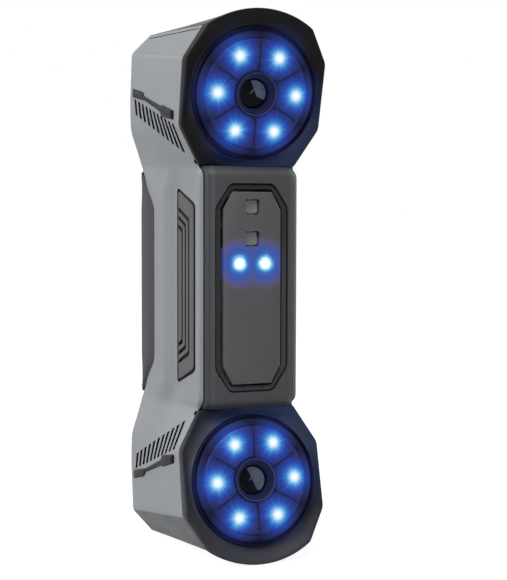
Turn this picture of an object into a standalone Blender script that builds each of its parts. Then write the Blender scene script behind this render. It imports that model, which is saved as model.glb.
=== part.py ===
"""Hand-held 3-D scanner: two toed-in camera heads with light rings, joined by a waist with a laser window.

Modelled standing on its lower end. X is across, Y runs from the lenses to the keys, Z is up. All the pieces are
laid out about the middle of the laser window's face and hang from one empty that sets them on the ground.
"""

import math

import bmesh
import bpy
from mathutils import Vector

# Whole body
HEIGHT = 0.298
HEAD_WIDTH = 0.081
BODY_BACK = 0.0912
WALL = 0.002
SEAM = 0.0003
EDGE_CLEARANCE = 0.0008
OVERRUN = 0.004

# Heads: depths are measured from the window's face, drops from the end of the body
TOE_IN = math.radians(10)
RIM_TILT = math.radians(14)
BROW = 0.0079
CHIN = 0.0020
LENS_FRONT = 0.003
RIM_FRONT = 0.0018
JOINT_DEPTH = 0.0035
RIM_TAPER = 0.0006
CROWN_RADIUS = 0.054
CROWN_BACK_DROP = 0.0051
CROWN_BACK_SET = 0.0196
SHOULDER_RUN = 0.0105
SHOULDER_BACK_RUN = 0.0061
SHOULDER_DROP = 0.0265
SHOULDER_BACK_DROP = 0.0148
SHOULDER_BACK_CUT = 0.0047
BACK_BEND_RISE = 0.0002
SIDE_FOOT_FALL = 0.0178
SIDE_FOOT_BACK_RISE = 0.003
NECK_INSET = 0.0125
NECK_BACK_RISE = 0.002
BACK_EDGE_CHAMFER = 0.001
SPINE_INSET = 0.0105

# Waist
WAIST_INSET = 0.012
HIP_INSET = 0.0065
WAIST_EDGE_BEVEL = 0.0016
WAIST_EDGE_DEPTH = 0.0053
WAIST_CORNER_DEPTH = 0.007
STEP_FOOT_DEPTH = 0.0448
STEP_RUN = 0.0052
WAIST_END_GAP = 0.0075

# Rear grip
GRIP_WALL = 0.003
GRIP_EDGE_SET = 0.0242
GRIP_EDGE_GAP = 0.0235
GRIP_SWELL = 0.0023
GRIP_SWELL_SET = 0.0072
GRIP_CORNER_INSET = 0.0005
GRIP_CORNER_CUT = 0.0022
GRIP_FLAT_INSET = 0.007
GRIP_DIP = 0.0034

# Laser window and its cover
COVER_FACE_DEPTH = 0.001
COVER_RIDGE = 0.0005
COVER_CORNER_INSET = 0.0015
COVER_CORNER_DEPTH = 0.003
COVER_END_SET_BACK = 0.004
COVER_FLANGE = 0.0045
BEZEL_INSET = 0.0042
BEZEL_END_GAP = 0.0023
BEZEL_CORNER_RUN = 0.0084
BEZEL_CORNER_RISE = 0.0128
BEZEL_DISH = 0.0008
PANEL_SIDE_BAND = 0.0041
PANEL_END_BAND = 0.0037
PANEL_CORNER_BAND = 0.0013
PANEL_CORNER_RISE = 0.0100
PANEL_DEPTH = 0.0006
PANEL_THICKNESS = 0.0024
PANEL_BEVEL = 0.0003
PANE_SIZE = 0.0072
PANE_RECESS = 0.0010
PANE_THICKNESS = 0.0012
PANE_DROPS = (0.0088, 0.0261)
LAMP_RADIUS = 0.0036
LAMP_DROP = 0.0396
LAMP_SPACING_SHARE = 0.4386
LAMP_DOME = 0.0005
PROJECTOR_RADIUS = 0.006
PROJECTOR_NOSE_RADIUS = 0.0042
PROJECTOR_NOSE = 0.005

# Side pads
PAD_FRONT_DEPTH = 0.0136
PAD_FRONT_GAP = 0.0225
PAD_NOSE_RUN = 0.0024
PAD_NOSE_RISE = 0.0022
PAD_BACK_SET = 0.0026
PAD_BACK_GAP = 0.0131
PAD_HEEL_RUN = 0.0018
PAD_HEEL_RISE = 0.0015
PAD_THICKNESS = 0.0028
PAD_BEVEL = 0.0012
PAD_GROOVE = 0.0022
PAD_GROOVE_CUT = 0.0010
PAD_GROOVE_START = 0.0096
PAD_GROOVE_PITCH = 0.0054
PAD_GROOVE_COUNT = 3
PAD_GROOVE_DROP = 0.0108
PAD_GROOVE_END_SET = 0.0012
PAD_GROOVE_PITCH_SHARE = 0.90

# Vents and their trim bars: rises are measured up from the foot of the head's side, sets from the back
VENT_COUNT = 11
VENT_SLOT = 0.0034
VENT_FRONT_TOP_DEPTH = 0.0174
VENT_FRONT_TOP_RISE = 0.0019
VENT_FRONT_FOOT_DEPTH = 0.0210
VENT_FRONT_FOOT_FALL = 0.0129
VENT_BACK_TOP_SET = 0.0107
VENT_BACK_TOP_RISE = 0.0202
VENT_BACK_FOOT_SET = 0.0117
VENT_BACK_FOOT_RISE = 0.0110
BAR_PROUD = 0.0012
BAR_RECESS = 0.0006
BAR_FRONT_DEPTH = 0.0140
BAR_BLOCK_LENGTH = 0.0181
BAR_NECK_RUN = 0.0039
BAR_REAR_NECK_RUN = 0.0025
BAR_REAR_BLOCK_LENGTH = 0.0185
BAR_BACK_SET = 0.0062
BAR_FRONT_RISES = (0.0088, 0.0039)
BAR_BLOCK_RISES = (0.0132, 0.0063)
BAR_NECK_RISES = (0.0132, 0.0096)
BAR_REAR_NECK_RISES = (0.0207, 0.0183)
BAR_REAR_BLOCK_RISES = (0.0234, 0.0186)
BAR_BACK_RISES = (0.0271, 0.0220)

# Hood, light ring and camera, about the lens axis
LIP = 0.0012
BORE_MARGIN = 0.0024
BORE_DEPTH = 0.005
RING_BAND = 0.0066
RING_DOME = 0.0023
RING_FACE = 0.0004
RING_WALL = 0.0016
RING_DEPTH = 0.0042
DIFFUSER_HOLE = 0.0121
DIFFUSER_THICKNESS = 0.0016
DIFFUSER_CROWN = 0.0006
LED_INSET = 0.0070
LED_SIZE = 0.0050
LED_HEIGHT = 0.0010
LED_COUNT = 6
BOARD_THICKNESS = 0.0016
BARREL_RADIUS = 0.0118
BARREL_PROUD = 0.0008
BARREL_MOUTH = 0.0094
BARREL_BORE = 0.0072
BARREL_STEP = 0.0030
BARREL_DEPTH = 0.0230
LENS_DEPTH = 0.0042
LENS_THICKNESS = 0.0024
LENS_CROWN = 0.0012
CAMERA_SIDE = 0.029
CAMERA_LENGTH = 0.034
CAMERA_BEVEL = 0.001

# Chassis and electronics
FRAME_THICKNESS = 0.003
FRAME_HEAD_HALF_WIDTH = 0.022
FRAME_HEAD_HALF_HEIGHT = 0.022
FRAME_WAIST_DEPTH = 0.046
FRAME_WAIST_INSET = 0.0085
FRAME_JOG_RISE = 0.0025
POST_RADIUS = 0.003
POST_SPACING_SHARE = 0.4706
POST_GAP = 0.0085
MAIN_BOARD_GAP = 0.0100
SINK_INSET = 0.003
SINK_HALF_HEIGHT = 0.026
SINK_BASE = 0.003
SINK_HEIGHT = 0.014
SINK_FINS = 7
SINK_FIN = 0.0014
FAN_SIDE = 0.040
FAN_DEPTH = 0.010
FAN_BORE = 0.0188
FAN_SPIDER = 0.0015
FAN_STRUT = 0.0030
FAN_HUB = 0.0100
FAN_TIP_GAP = 0.0006
FAN_ROTOR_GAP = 0.0015
FAN_BLADES = 7
FAN_PITCH = math.radians(24)

# Keys on the back of the grip, from the top: drops are measured from the upper end of the grip
KEY_DROPS = (0.0085, 0.0200, 0.0320, 0.0420)
KEY_RADII = (0.0036, 0.0052, 0.0036, 0.0034)
KEY_NAMES = ("plus_key", "scan_key", "minus_key", "mode_key")
KEY_PROUD = 0.0016
KEY_FLANGE = 0.0009
KEY_FLANGE_THICKNESS = 0.0012
KEY_TRAVEL = 0.0007
KEY_CROWN = 0.0003
KEY_WINDOW_MARGIN = 0.0060
KEY_WINDOW_SIDE = 0.0036
KEY_WINDOW_CORNER = 0.0030
KEY_BOARD_GAP = 0.0020
KEY_BOARD_MARGIN = 0.0055
DOME_RADIUS = 0.0020
DOME_HEIGHT = 0.0006
BOARD_POST_RADIUS = 0.0012
BOARD_POST_INSET = 0.0018
LIGHT_BAR_RISE = 0.0105
LIGHT_BAR_HALF_LENGTH = 0.0080
LIGHT_BAR_HALF_HEIGHT = 0.0012
LIGHT_BAR_SINK = 0.0002

# Cable socket in the back of the lower head
SOCKET_PLACE_SHARE = 0.671
SOCKET_RADIUS = 0.0080
SOCKET_WALL = 0.0018
SOCKET_DEPTH = 0.0150
SOCKET_FLOOR = 0.0020
SOCKET_FLANGE = 0.0018
SOCKET_SINK = 0.0003
INSERT_THICKNESS = 0.0040

ROUND_STEPS = 36
SMALL_ROUND_STEPS = 20
POST_STEPS = 10
SHARP_ANGLE = math.radians(32)

# Widths that follow from the head's width
HALF_HEIGHT = HEIGHT / 2
HEAD_HALF_WIDTH = HEAD_WIDTH / 2
CROWN_HALF_WIDTH = HEAD_HALF_WIDTH - SHOULDER_RUN
CROWN_BACK_HALF_WIDTH = HEAD_HALF_WIDTH - SHOULDER_BACK_RUN
NECK_HALF_WIDTH = HEAD_HALF_WIDTH - NECK_INSET
SPINE_HALF_WIDTH = HEAD_HALF_WIDTH - SPINE_INSET
WAIST_HALF_WIDTH = HEAD_HALF_WIDTH - WAIST_INSET
HIP_HALF_WIDTH = HEAD_HALF_WIDTH - HIP_INSET
WAIST_EDGE_HALF_WIDTH = WAIST_HALF_WIDTH - WAIST_EDGE_BEVEL
COVER_CORNER_HALF_WIDTH = WAIST_EDGE_HALF_WIDTH - COVER_CORNER_INSET
BEZEL_SIDE_HALF_WIDTH = COVER_CORNER_HALF_WIDTH - BEZEL_INSET
BEZEL_END_HALF_WIDTH = BEZEL_SIDE_HALF_WIDTH - BEZEL_CORNER_RUN
PANEL_SIDE_HALF_WIDTH = BEZEL_SIDE_HALF_WIDTH - PANEL_SIDE_BAND
PANEL_END_HALF_WIDTH = BEZEL_END_HALF_WIDTH - PANEL_CORNER_BAND
LAMP_HALF_SPACING = PANEL_SIDE_HALF_WIDTH * LAMP_SPACING_SHARE
GRIP_CORNER_HALF_WIDTH = HIP_HALF_WIDTH - GRIP_CORNER_INSET
GRIP_FLAT_HALF_WIDTH = HIP_HALF_WIDTH - GRIP_FLAT_INSET
FRAME_WAIST_HALF_WIDTH = WAIST_HALF_WIDTH - FRAME_WAIST_INSET
POST_HALF_SPACING = HIP_HALF_WIDTH * POST_SPACING_SHARE
MAIN_BOARD_HALF_WIDTH = FRAME_WAIST_HALF_WIDTH
SINK_HALF_WIDTH = MAIN_BOARD_HALF_WIDTH - SINK_INSET
BORE_RADIUS = HEAD_HALF_WIDTH - RIM_TAPER - LIP - BORE_MARGIN
DIFFUSER_RADIUS = BORE_RADIUS - RING_BAND
LED_CIRCLE = DIFFUSER_RADIUS - LED_INSET
SOCKET_BORE = SOCKET_RADIUS - SOCKET_WALL
KEY_WINDOW_HALF_WIDTH = max(KEY_RADII) + KEY_WINDOW_SIDE
KEY_BOARD_HALF_WIDTH = POST_HALF_SPACING - POST_RADIUS - KEY_BOARD_GAP
BOARD_POST_HALF_SPACING = KEY_BOARD_HALF_WIDTH - BOARD_POST_INSET

# Heights, measured from the middle
LENS_DROP = BORE_RADIUS + BROW
NECK_DROP = LENS_DROP + BORE_RADIUS + CHIN
LENS_Z = HALF_HEIGHT - LENS_DROP
SHOULDER_Z = HALF_HEIGHT - SHOULDER_DROP
SIDE_FOOT_Z = LENS_Z - SIDE_FOOT_FALL
SIDE_FOOT_BACK_Z = SIDE_FOOT_Z + SIDE_FOOT_BACK_RISE
NECK_Z = HALF_HEIGHT - NECK_DROP
NECK_BACK_Z = NECK_Z + NECK_BACK_RISE
BACK_BEND_Z = LENS_Z + BACK_BEND_RISE
LIGHT_BAR_Z = NECK_BACK_Z + LIGHT_BAR_RISE
SOCKET_Z = -NECK_BACK_Z - (BACK_BEND_Z - NECK_BACK_Z) * SOCKET_PLACE_SHARE
WAIST_END_REACH = NECK_Z - WAIST_END_GAP
GRIP_EDGE_REACH = NECK_Z - GRIP_EDGE_GAP
BEZEL_END_REACH = WAIST_END_REACH - BEZEL_END_GAP
BEZEL_SIDE_REACH = BEZEL_END_REACH - BEZEL_CORNER_RISE
PANEL_END_REACH = BEZEL_END_REACH - PANEL_END_BAND
PANEL_SIDE_REACH = PANEL_END_REACH - PANEL_CORNER_RISE
PANE_HEIGHTS = [PANEL_END_REACH - drop for drop in PANE_DROPS]
LAMP_HEIGHT = PANEL_END_REACH - LAMP_DROP
PAD_FRONT_REACH = NECK_Z - PAD_FRONT_GAP
PAD_NOSE_REACH = PAD_FRONT_REACH + PAD_NOSE_RISE
PAD_BACK_REACH = NECK_Z - PAD_BACK_GAP
PAD_HEEL_REACH = PAD_BACK_REACH + PAD_HEEL_RISE
FRAME_JOG_REACH = NECK_Z + FRAME_JOG_RISE
POST_REACH = NECK_Z - POST_GAP
MAIN_BOARD_HALF_HEIGHT = POST_REACH - MAIN_BOARD_GAP
KEY_HEIGHTS = [NECK_BACK_Z - drop for drop in KEY_DROPS]

# Depths, measured back from the window's face
BODY_FRONT = -RIM_FRONT - math.tan(RIM_TILT) * (LENS_DROP - RIM_TAPER)
CROWN_BACK_DEPTH = BODY_BACK - CROWN_BACK_SET
STEP_TOP_DEPTH = STEP_FOOT_DEPTH + STEP_RUN
GRIP_EDGE_DEPTH = BODY_BACK - GRIP_EDGE_SET
GRIP_SWELL_DEPTH = BODY_BACK - GRIP_SWELL_SET
SPINE_WAIST_DEPTH = BODY_BACK - GRIP_WALL - SEAM
PAD_NOSE_DEPTH = PAD_FRONT_DEPTH + PAD_NOSE_RUN
PAD_BACK_DEPTH = STEP_FOOT_DEPTH - PAD_BACK_SET
PAD_HEEL_DEPTH = PAD_BACK_DEPTH - PAD_HEEL_RUN
PAD_GROOVE_DEPTHS = [PAD_FRONT_DEPTH + PAD_GROOVE_START + i * PAD_GROOVE_PITCH
                     for i in range(PAD_GROOVE_COUNT)]
BAR_BLOCK_DEPTH = BAR_FRONT_DEPTH + BAR_BLOCK_LENGTH
BAR_NECK_DEPTH = BAR_BLOCK_DEPTH + BAR_NECK_RUN
BAR_BACK_DEPTH = BODY_BACK - BAR_BACK_SET
BAR_REAR_BLOCK_DEPTH = BAR_BACK_DEPTH - BAR_REAR_BLOCK_LENGTH
BAR_REAR_NECK_DEPTH = BAR_REAR_BLOCK_DEPTH - BAR_REAR_NECK_RUN

DIFFUSER_TOP = RING_DOME - RING_FACE
FAN_TIP = FAN_BORE - FAN_TIP_GAP
FAN_ROTOR = FAN_DEPTH - FAN_SPIDER - FAN_ROTOR_GAP
EACH_HEAD = (("upper", 1), ("lower", -1))
EACH_SIDE = (("left", -1), ("right", 1))


# Helpers

def material(name, colour, roughness, metallic=0.0, emission=0.0):
    mat = bpy.data.materials.new(name)
    mat.use_nodes = True
    shader = mat.node_tree.nodes["Principled BSDF"]
    shader.inputs["Base Color"].default_value = (*colour, 1.0)
    shader.inputs["Roughness"].default_value = roughness
    shader.inputs["Metallic"].default_value = metallic
    if emission:
        shader.inputs["Emission Color"].default_value = (*colour, 1.0)
        shader.inputs["Emission Strength"].default_value = emission
    return mat


def add_object(name, bm, look, smooth=True):
    """Makes an object of a closed bmesh, hung from the root."""
    mesh = bpy.data.meshes.new(name)
    bm.to_mesh(mesh)
    bm.free()
    if smooth:
        mesh.shade_smooth()
        mesh.set_sharp_from_angle(angle=SHARP_ANGLE)
    obj = bpy.data.objects.new(name, mesh)
    bpy.context.scene.collection.objects.link(obj)
    if look:
        mesh.materials.append(look)
    obj.parent = root
    return obj


def face_out(bm):
    bmesh.ops.recalc_face_normals(bm, faces=bm.faces)


def ring_loft(rings, close_section):
    """Joins rings of equal count. A closed section makes a tube wall; otherwise the end rings are capped."""
    bm = bmesh.new()
    loops = [[bm.verts.new(p) for p in ring] for ring in rings]
    count = len(rings[0])
    pairs = list(zip(loops, loops[1:]))
    if close_section:
        pairs.append((loops[-1], loops[0]))
    for a, b in pairs:
        for i in range(count):
            j = (i + 1) % count
            bm.faces.new((a[i], a[j], b[j], b[i]))
    if not close_section:
        bm.faces.new(loops[0])
        bm.faces.new(loops[-1])
    face_out(bm)
    return bm


def lathe(profile, steps=ROUND_STEPS):
    """Turns a closed (radius, height) section about Z. Points at radius zero become poles."""
    bm = bmesh.new()
    loops = []
    for radius, height in profile:
        if radius == 0:
            loops.append([bm.verts.new((0, 0, height))])
            continue
        turn = [2 * math.pi * i / steps for i in range(steps)]
        loops.append([bm.verts.new((radius * math.cos(a), radius * math.sin(a), height)) for a in turn])
    for a, b in zip(loops, loops[1:] + loops[:1]):
        if len(a) == 1 and len(b) == 1:
            continue
        for i in range(steps):
            j = (i + 1) % steps
            corners = [a[i % len(a)], a[j % len(a)], b[j % len(b)], b[i % len(b)]]
            unique = []
            for corner in corners:
                if corner not in unique:
                    unique.append(corner)
            bm.faces.new(unique)
    face_out(bm)
    return bm


def prism(outline, start, end, axis):
    """Extrudes a flat outline from start to end along one axis, given in the order of the two other axes."""
    def place(point, level):
        values = list(point)
        values.insert("XYZ".index(axis), level)
        return values
    return ring_loft([[place(p, start) for p in outline], [place(p, end) for p in outline]], False)


def rectangle(half_x, half_y, centre_x=0, centre_y=0):
    corners = ((-1, -1), (1, -1), (1, 1), (-1, 1))
    return [(centre_x + sx * half_x, centre_y + sy * half_y) for sx, sy in corners]


def circle_outline(radius, centre_x=0, centre_y=0, steps=SMALL_ROUND_STEPS):
    """A round outline, turned half a step so that no corner lies on the middle plane."""
    turn = [2 * math.pi * (i + 0.5) / steps for i in range(steps)]
    return [(centre_x + radius * math.cos(a), centre_y + radius * math.sin(a)) for a in turn]


def rounded_rectangle(half_x, half_y, radius, centre_x=0, centre_y=0, steps=3):
    points = []
    for quarter, (sx, sy) in enumerate(((1, 1), (-1, 1), (-1, -1), (1, -1))):
        for i in range(steps + 1):
            a = math.pi / 2 * (quarter + i / steps)
            points.append((centre_x + sx * (half_x - radius) + radius * math.cos(a),
                           centre_y + sy * (half_y - radius) + radius * math.sin(a)))
    return points


def offset_outline(outline, distance):
    """Moves each edge of a convex outline outward by a distance (inward if negative)."""
    area = sum(a[0] * b[1] - b[0] * a[1] for a, b in zip(outline, outline[1:] + outline[:1]))
    sign = 1 if area > 0 else -1
    moved = []
    count = len(outline)
    for i in range(count):
        before = Vector(outline[i - 1])
        here = Vector(outline[i])
        after = Vector(outline[(i + 1) % count])
        edge_in = (here - before).normalized()
        edge_out = (after - here).normalized()
        normal_in = Vector((edge_in.y, -edge_in.x)) * sign
        normal_out = Vector((edge_out.y, -edge_out.x)) * sign
        bisector = (normal_in + normal_out).normalized()
        moved.append(tuple(here + bisector * (distance / bisector.dot(normal_in))))
    return moved


def mix(a, b, share):
    return a + (b - a) * share


def mix_points(a, b, share):
    return tuple(mix(p, q, share) for p, q in zip(a, b))


def boolean(obj, bm, operation="DIFFERENCE"):
    """Cuts or joins a bmesh in the root's frame, then drops the tool."""
    tool = add_object(obj.name + "_tool", bm, None, smooth=False)
    tool.hide_render = True
    tool.display_type = "WIRE"
    modifier = obj.modifiers.new("Cut", "BOOLEAN")
    modifier.operation = operation
    modifier.solver = "EXACT"
    modifier.object = tool
    return tool


def apply_modifiers(obj):
    """Settles an object's modifiers into its mesh and removes the tools that they used."""
    bpy.context.view_layer.update()
    graph = bpy.context.evaluated_depsgraph_get()
    mesh = bpy.data.meshes.new_from_object(obj.evaluated_get(graph), depsgraph=graph)
    tools = [m.object for m in obj.modifiers if m.type == "BOOLEAN"]
    obj.modifiers.clear()
    obj.data = mesh
    for tool in tools:
        bpy.data.objects.remove(tool)


def skin_shell(name, rows, thickness, look, skip=()):
    """Lays quads over a grid of points and thickens them inward. Rows run along the second direction."""
    bm = bmesh.new()
    grid = [[bm.verts.new(p) if p else None for p in row] for row in rows]
    for r in range(len(rows) - 1):
        for c in range(len(rows[r]) - 1):
            corners = [grid[r][c], grid[r][c + 1], grid[r + 1][c + 1], grid[r + 1][c]]
            if None in corners or (r, c) in skip:
                continue
            bm.faces.new(corners)
    bmesh.ops.remove_doubles(bm, verts=bm.verts, dist=SEAM / 10)
    loose = [v for v in bm.verts if not v.link_faces]
    bmesh.ops.delete(bm, geom=loose, context="VERTS")
    obj = add_object(name, bm, look)
    solid = obj.modifiers.new("Wall", "SOLIDIFY")
    solid.thickness = thickness
    solid.offset = -1
    solid.use_even_offset = True
    return obj


def on_lens_axis(obj, sign, height=0):
    """Sets a piece turned about its own Z on a head's lens axis, height in front of the ring's plane."""
    forward = Vector((0, -math.cos(TOE_IN), -sign * math.sin(TOE_IN)))
    obj.location = Vector((0, -LENS_FRONT, sign * LENS_Z)) + forward * height
    obj.rotation_euler = (math.pi / 2 + sign * TOE_IN, 0, 0)
    return obj


def along_y(obj, x, y, z):
    """Sets a piece turned about its own Z so that its Z points back."""
    obj.location = (x, y, z)
    obj.rotation_euler = (-math.pi / 2, 0, 0)
    return obj


def joint_y(z):
    """The plane between the hood and the shells behind it."""
    return JOINT_DEPTH - math.tan(TOE_IN) * (abs(z) - LENS_Z)


def rim_y(z):
    """The plane of the hood's outer rim."""
    return -RIM_FRONT - math.tan(RIM_TILT) * (abs(z) - LENS_Z)


# Scene

for old in list(bpy.data.objects):
    bpy.data.objects.remove(old)

root = bpy.data.objects.new("scanner_root", None)
bpy.context.scene.collection.objects.link(root)
root.location = (0, -(BODY_BACK + BODY_FRONT) / 2, HALF_HEIGHT)

GREY_SHELL = material("grey_shell", (0.30, 0.31, 0.32), 0.42)
DARK_SHELL = material("dark_shell", (0.060, 0.062, 0.068), 0.48)
HOOD_BLACK = material("hood_black", (0.022, 0.022, 0.026), 0.40)
GRIP_RUBBER = material("grip_rubber", (0.075, 0.072, 0.075), 0.78)
PAD_RUBBER = material("pad_rubber", (0.085, 0.078, 0.085), 0.75)
PANEL_FILTER = material("panel_filter", (0.065, 0.062, 0.068), 0.30)
PANE_GLASS = material("pane_glass", (0.17, 0.17, 0.18), 0.12)
LAMP_BLUE = material("lamp_blue", (0.35, 0.60, 1.0), 0.20, emission=4.0)
DIFFUSER_BLUE = material("diffuser_blue", (0.05, 0.10, 0.55), 0.30, emission=1.0)
BARREL_BLACK = material("barrel_black", (0.012, 0.012, 0.014), 0.30, 0.4)
LENS_GLASS = material("lens_glass", (0.02, 0.025, 0.035), 0.03)
CAMERA_METAL = material("camera_metal", (0.10, 0.10, 0.11), 0.40, 0.9)
FRAME_METAL = material("frame_metal", (0.45, 0.45, 0.46), 0.45, 1.0)
BOARD_GREEN = material("board_green", (0.02, 0.12, 0.05), 0.55)
SINK_METAL = material("sink_metal", (0.55, 0.56, 0.58), 0.38, 1.0)
FAN_BLACK = material("fan_black", (0.02, 0.02, 0.02), 0.50)
KEY_RUBBER = material("key_rubber", (0.045, 0.045, 0.048), 0.60)
LIGHT_BAR = material("light_bar", (0.80, 0.85, 0.90), 0.35)
SOCKET_METAL = material("socket_metal", (0.50, 0.50, 0.50), 0.32, 1.0)
INSERT_PLASTIC = material("insert_plastic", (0.03, 0.03, 0.03), 0.50)


# Side shells: one moulded skin from the upper shoulder down the flank and the waist to the lower shoulder

FLANK_SHARES = (0, 0.25, 0.5, 0.75, 1)
FLANK_BACK_SHARES = (0, 0.09, 0.46, 0.86, 1)
GRIP_SWEEP_RISE_SHARES = (0.843, 0.549, 0.314, 0.145, 0)
GRIP_SWEEP_SHARES = (0.73, 0.54, 0.29, 0.085, 0)
GRIP_SWEEP_REACHES = [GRIP_EDGE_REACH + (NECK_BACK_Z - GRIP_EDGE_REACH) * share
                      for share in GRIP_SWEEP_RISE_SHARES]


def grip_sweep_depth(share):
    """Depth of the line between shell and grip, which sweeps back towards the heads."""
    return mix(GRIP_EDGE_DEPTH, BODY_BACK, share)


def head_row(x_front, z_front, x_back, z_back, y_back, x_step):
    """One line round a head from the hood's joint to the spine, at x_step where the waist's step begins."""
    y_front = joint_y(z_front) + SEAM
    row = [(x_front, y_front, z_front)]
    for y, x in ((y_front + WALL, x_front), (STEP_FOOT_DEPTH, x_step[0]), (STEP_TOP_DEPTH, x_step[1])):
        share = (y - y_front) / (y_back - y_front)
        row.append((x, y, mix(z_front, z_back, share)))
    row.append((x_back, y_back - BACK_EDGE_CHAMFER, z_back))
    row.append((x_back - BACK_EDGE_CHAMFER, y_back, z_back))
    row.append((SPINE_HALF_WIDTH, y_back, z_back))
    return row


def crown_row():
    """The shoulder chamfer's upper edge, which widens towards the back."""
    z_front = HALF_HEIGHT - CROWN_RADIUS + math.sqrt(CROWN_RADIUS ** 2 - CROWN_HALF_WIDTH ** 2)
    y_front = joint_y(z_front) + SEAM
    z_back = HALF_HEIGHT - CROWN_BACK_DROP
    row = []
    for y in (y_front, y_front + WALL, STEP_FOOT_DEPTH, STEP_TOP_DEPTH, CROWN_BACK_DEPTH):
        share = (y - y_front) / (CROWN_BACK_DEPTH - y_front)
        row.append((mix(CROWN_HALF_WIDTH, CROWN_BACK_HALF_WIDTH, share), y, mix(z_front, z_back, share)))
    return row + [row[-1], row[-1]]


def waist_row(reach, boundary, back_reach=None):
    """One line round the waist: front chamfer, flat side, step, then on to the grip's edge."""
    back_z = back_reach or reach
    end = (HIP_HALF_WIDTH, boundary, back_z)
    start = (WAIST_HALF_WIDTH, WAIST_CORNER_DEPTH, reach)
    row = [(WAIST_EDGE_HALF_WIDTH, WAIST_EDGE_DEPTH, reach), start]
    for x, y in ((WAIST_HALF_WIDTH, STEP_FOOT_DEPTH), (HIP_HALF_WIDTH, STEP_TOP_DEPTH)):
        share = (y - WAIST_CORNER_DEPTH) / (boundary - WAIST_CORNER_DEPTH)
        row.append((x, y, mix(reach, back_z, share)))
    return row + [end, None, None]


def upper_rows():
    full = HEAD_HALF_WIDTH
    rows = [crown_row()]
    shoulder_back = BODY_BACK - SHOULDER_BACK_CUT
    rows.append(head_row(full, SHOULDER_Z, full, HALF_HEIGHT - SHOULDER_BACK_DROP, shoulder_back,
                         (full, full)))
    rows.append(head_row(full, BACK_BEND_Z, full, BACK_BEND_Z, BODY_BACK, (full, full)))
    for share, back_share in zip(FLANK_SHARES, FLANK_BACK_SHARES):
        x_front = mix(full, NECK_HALF_WIDTH, share)
        x_back = mix(full, HIP_HALF_WIDTH, back_share)
        step = (mix(full, WAIST_HALF_WIDTH, share), mix(full, HIP_HALF_WIDTH, back_share))
        rows.append(head_row(x_front, mix(SIDE_FOOT_Z, NECK_Z, share), x_back,
                             mix(SIDE_FOOT_BACK_Z, NECK_BACK_Z, share), BODY_BACK, step))
    rows.append(waist_row(WAIST_END_REACH, grip_sweep_depth(GRIP_SWEEP_SHARES[0]), GRIP_SWEEP_REACHES[0]))
    for reach, share in zip(GRIP_SWEEP_REACHES[1:], GRIP_SWEEP_SHARES[1:]):
        rows.append(waist_row(reach, grip_sweep_depth(share)))
    return rows


def mirrored_down(rows):
    """Adds the lower half, so that the rows run from the top to the bottom."""
    lower = [[p and (p[0], p[1], -p[2]) for p in row] for row in reversed(rows)]
    return rows + lower


PAD_OUTLINE = [(PAD_FRONT_DEPTH, -PAD_FRONT_REACH), (PAD_NOSE_DEPTH, -PAD_NOSE_REACH),
               (PAD_HEEL_DEPTH, -PAD_HEEL_REACH), (PAD_BACK_DEPTH, -PAD_BACK_REACH),
               (PAD_BACK_DEPTH, PAD_BACK_REACH), (PAD_HEEL_DEPTH, PAD_HEEL_REACH),
               (PAD_NOSE_DEPTH, PAD_NOSE_REACH), (PAD_FRONT_DEPTH, PAD_FRONT_REACH)]

BAR_STATIONS = ((BAR_FRONT_DEPTH, BAR_FRONT_RISES), (BAR_BLOCK_DEPTH, BAR_BLOCK_RISES),
                (BAR_NECK_DEPTH, BAR_NECK_RISES), (BAR_REAR_NECK_DEPTH, BAR_REAR_NECK_RISES),
                (BAR_REAR_BLOCK_DEPTH, BAR_REAR_BLOCK_RISES), (BAR_BACK_DEPTH, BAR_BACK_RISES))


def bar_outline(sign, grow):
    """Dumbbell outline of a trim bar in depth and height, grown by a clearance."""
    far = [(y, sign * (SIDE_FOOT_Z + rises[0] + grow)) for y, rises in BAR_STATIONS]
    near = [(y, sign * (SIDE_FOOT_Z + rises[1] - grow)) for y, rises in reversed(BAR_STATIONS)]
    far[0] = (far[0][0] - grow, far[0][1])
    near[-1] = (near[-1][0] - grow, near[-1][1])
    far[-1] = (far[-1][0] + grow, far[-1][1])
    near[0] = (near[0][0] + grow, near[0][1])
    return far + near


def vent_outline(sign, index):
    """One leaning slot of the row that lengthens towards the front."""
    share = index / (VENT_COUNT - 1)
    top_y = mix(VENT_FRONT_TOP_DEPTH, BODY_BACK - VENT_BACK_TOP_SET, share)
    top_z = SIDE_FOOT_Z + mix(VENT_FRONT_TOP_RISE, VENT_BACK_TOP_RISE, share)
    foot_y = mix(VENT_FRONT_FOOT_DEPTH, BODY_BACK - VENT_BACK_FOOT_SET, share)
    foot_z = SIDE_FOOT_Z + mix(-VENT_FRONT_FOOT_FALL, VENT_BACK_FOOT_RISE, share)
    half = VENT_SLOT / 2
    return [(top_y - half, sign * top_z), (top_y + half, sign * top_z),
            (foot_y + half, sign * foot_z), (foot_y - half, sign * foot_z)]


def spine_bed():
    """Plan outline of the rear spine over a head's end, grown by the seam."""
    grow = SEAM - EDGE_CLEARANCE
    half = [(CROWN_HALF_WIDTH + grow, BODY_FRONT), (CROWN_HALF_WIDTH + grow, joint_y(HALF_HEIGHT)),
            (CROWN_BACK_HALF_WIDTH + grow, CROWN_BACK_DEPTH),
            (SPINE_HALF_WIDTH + grow, BODY_BACK - SHOULDER_BACK_CUT), (SPINE_HALF_WIDTH + grow, BODY_BACK + OVERRUN)]
    return half + [(-x, y) for x, y in reversed(half)]


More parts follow.
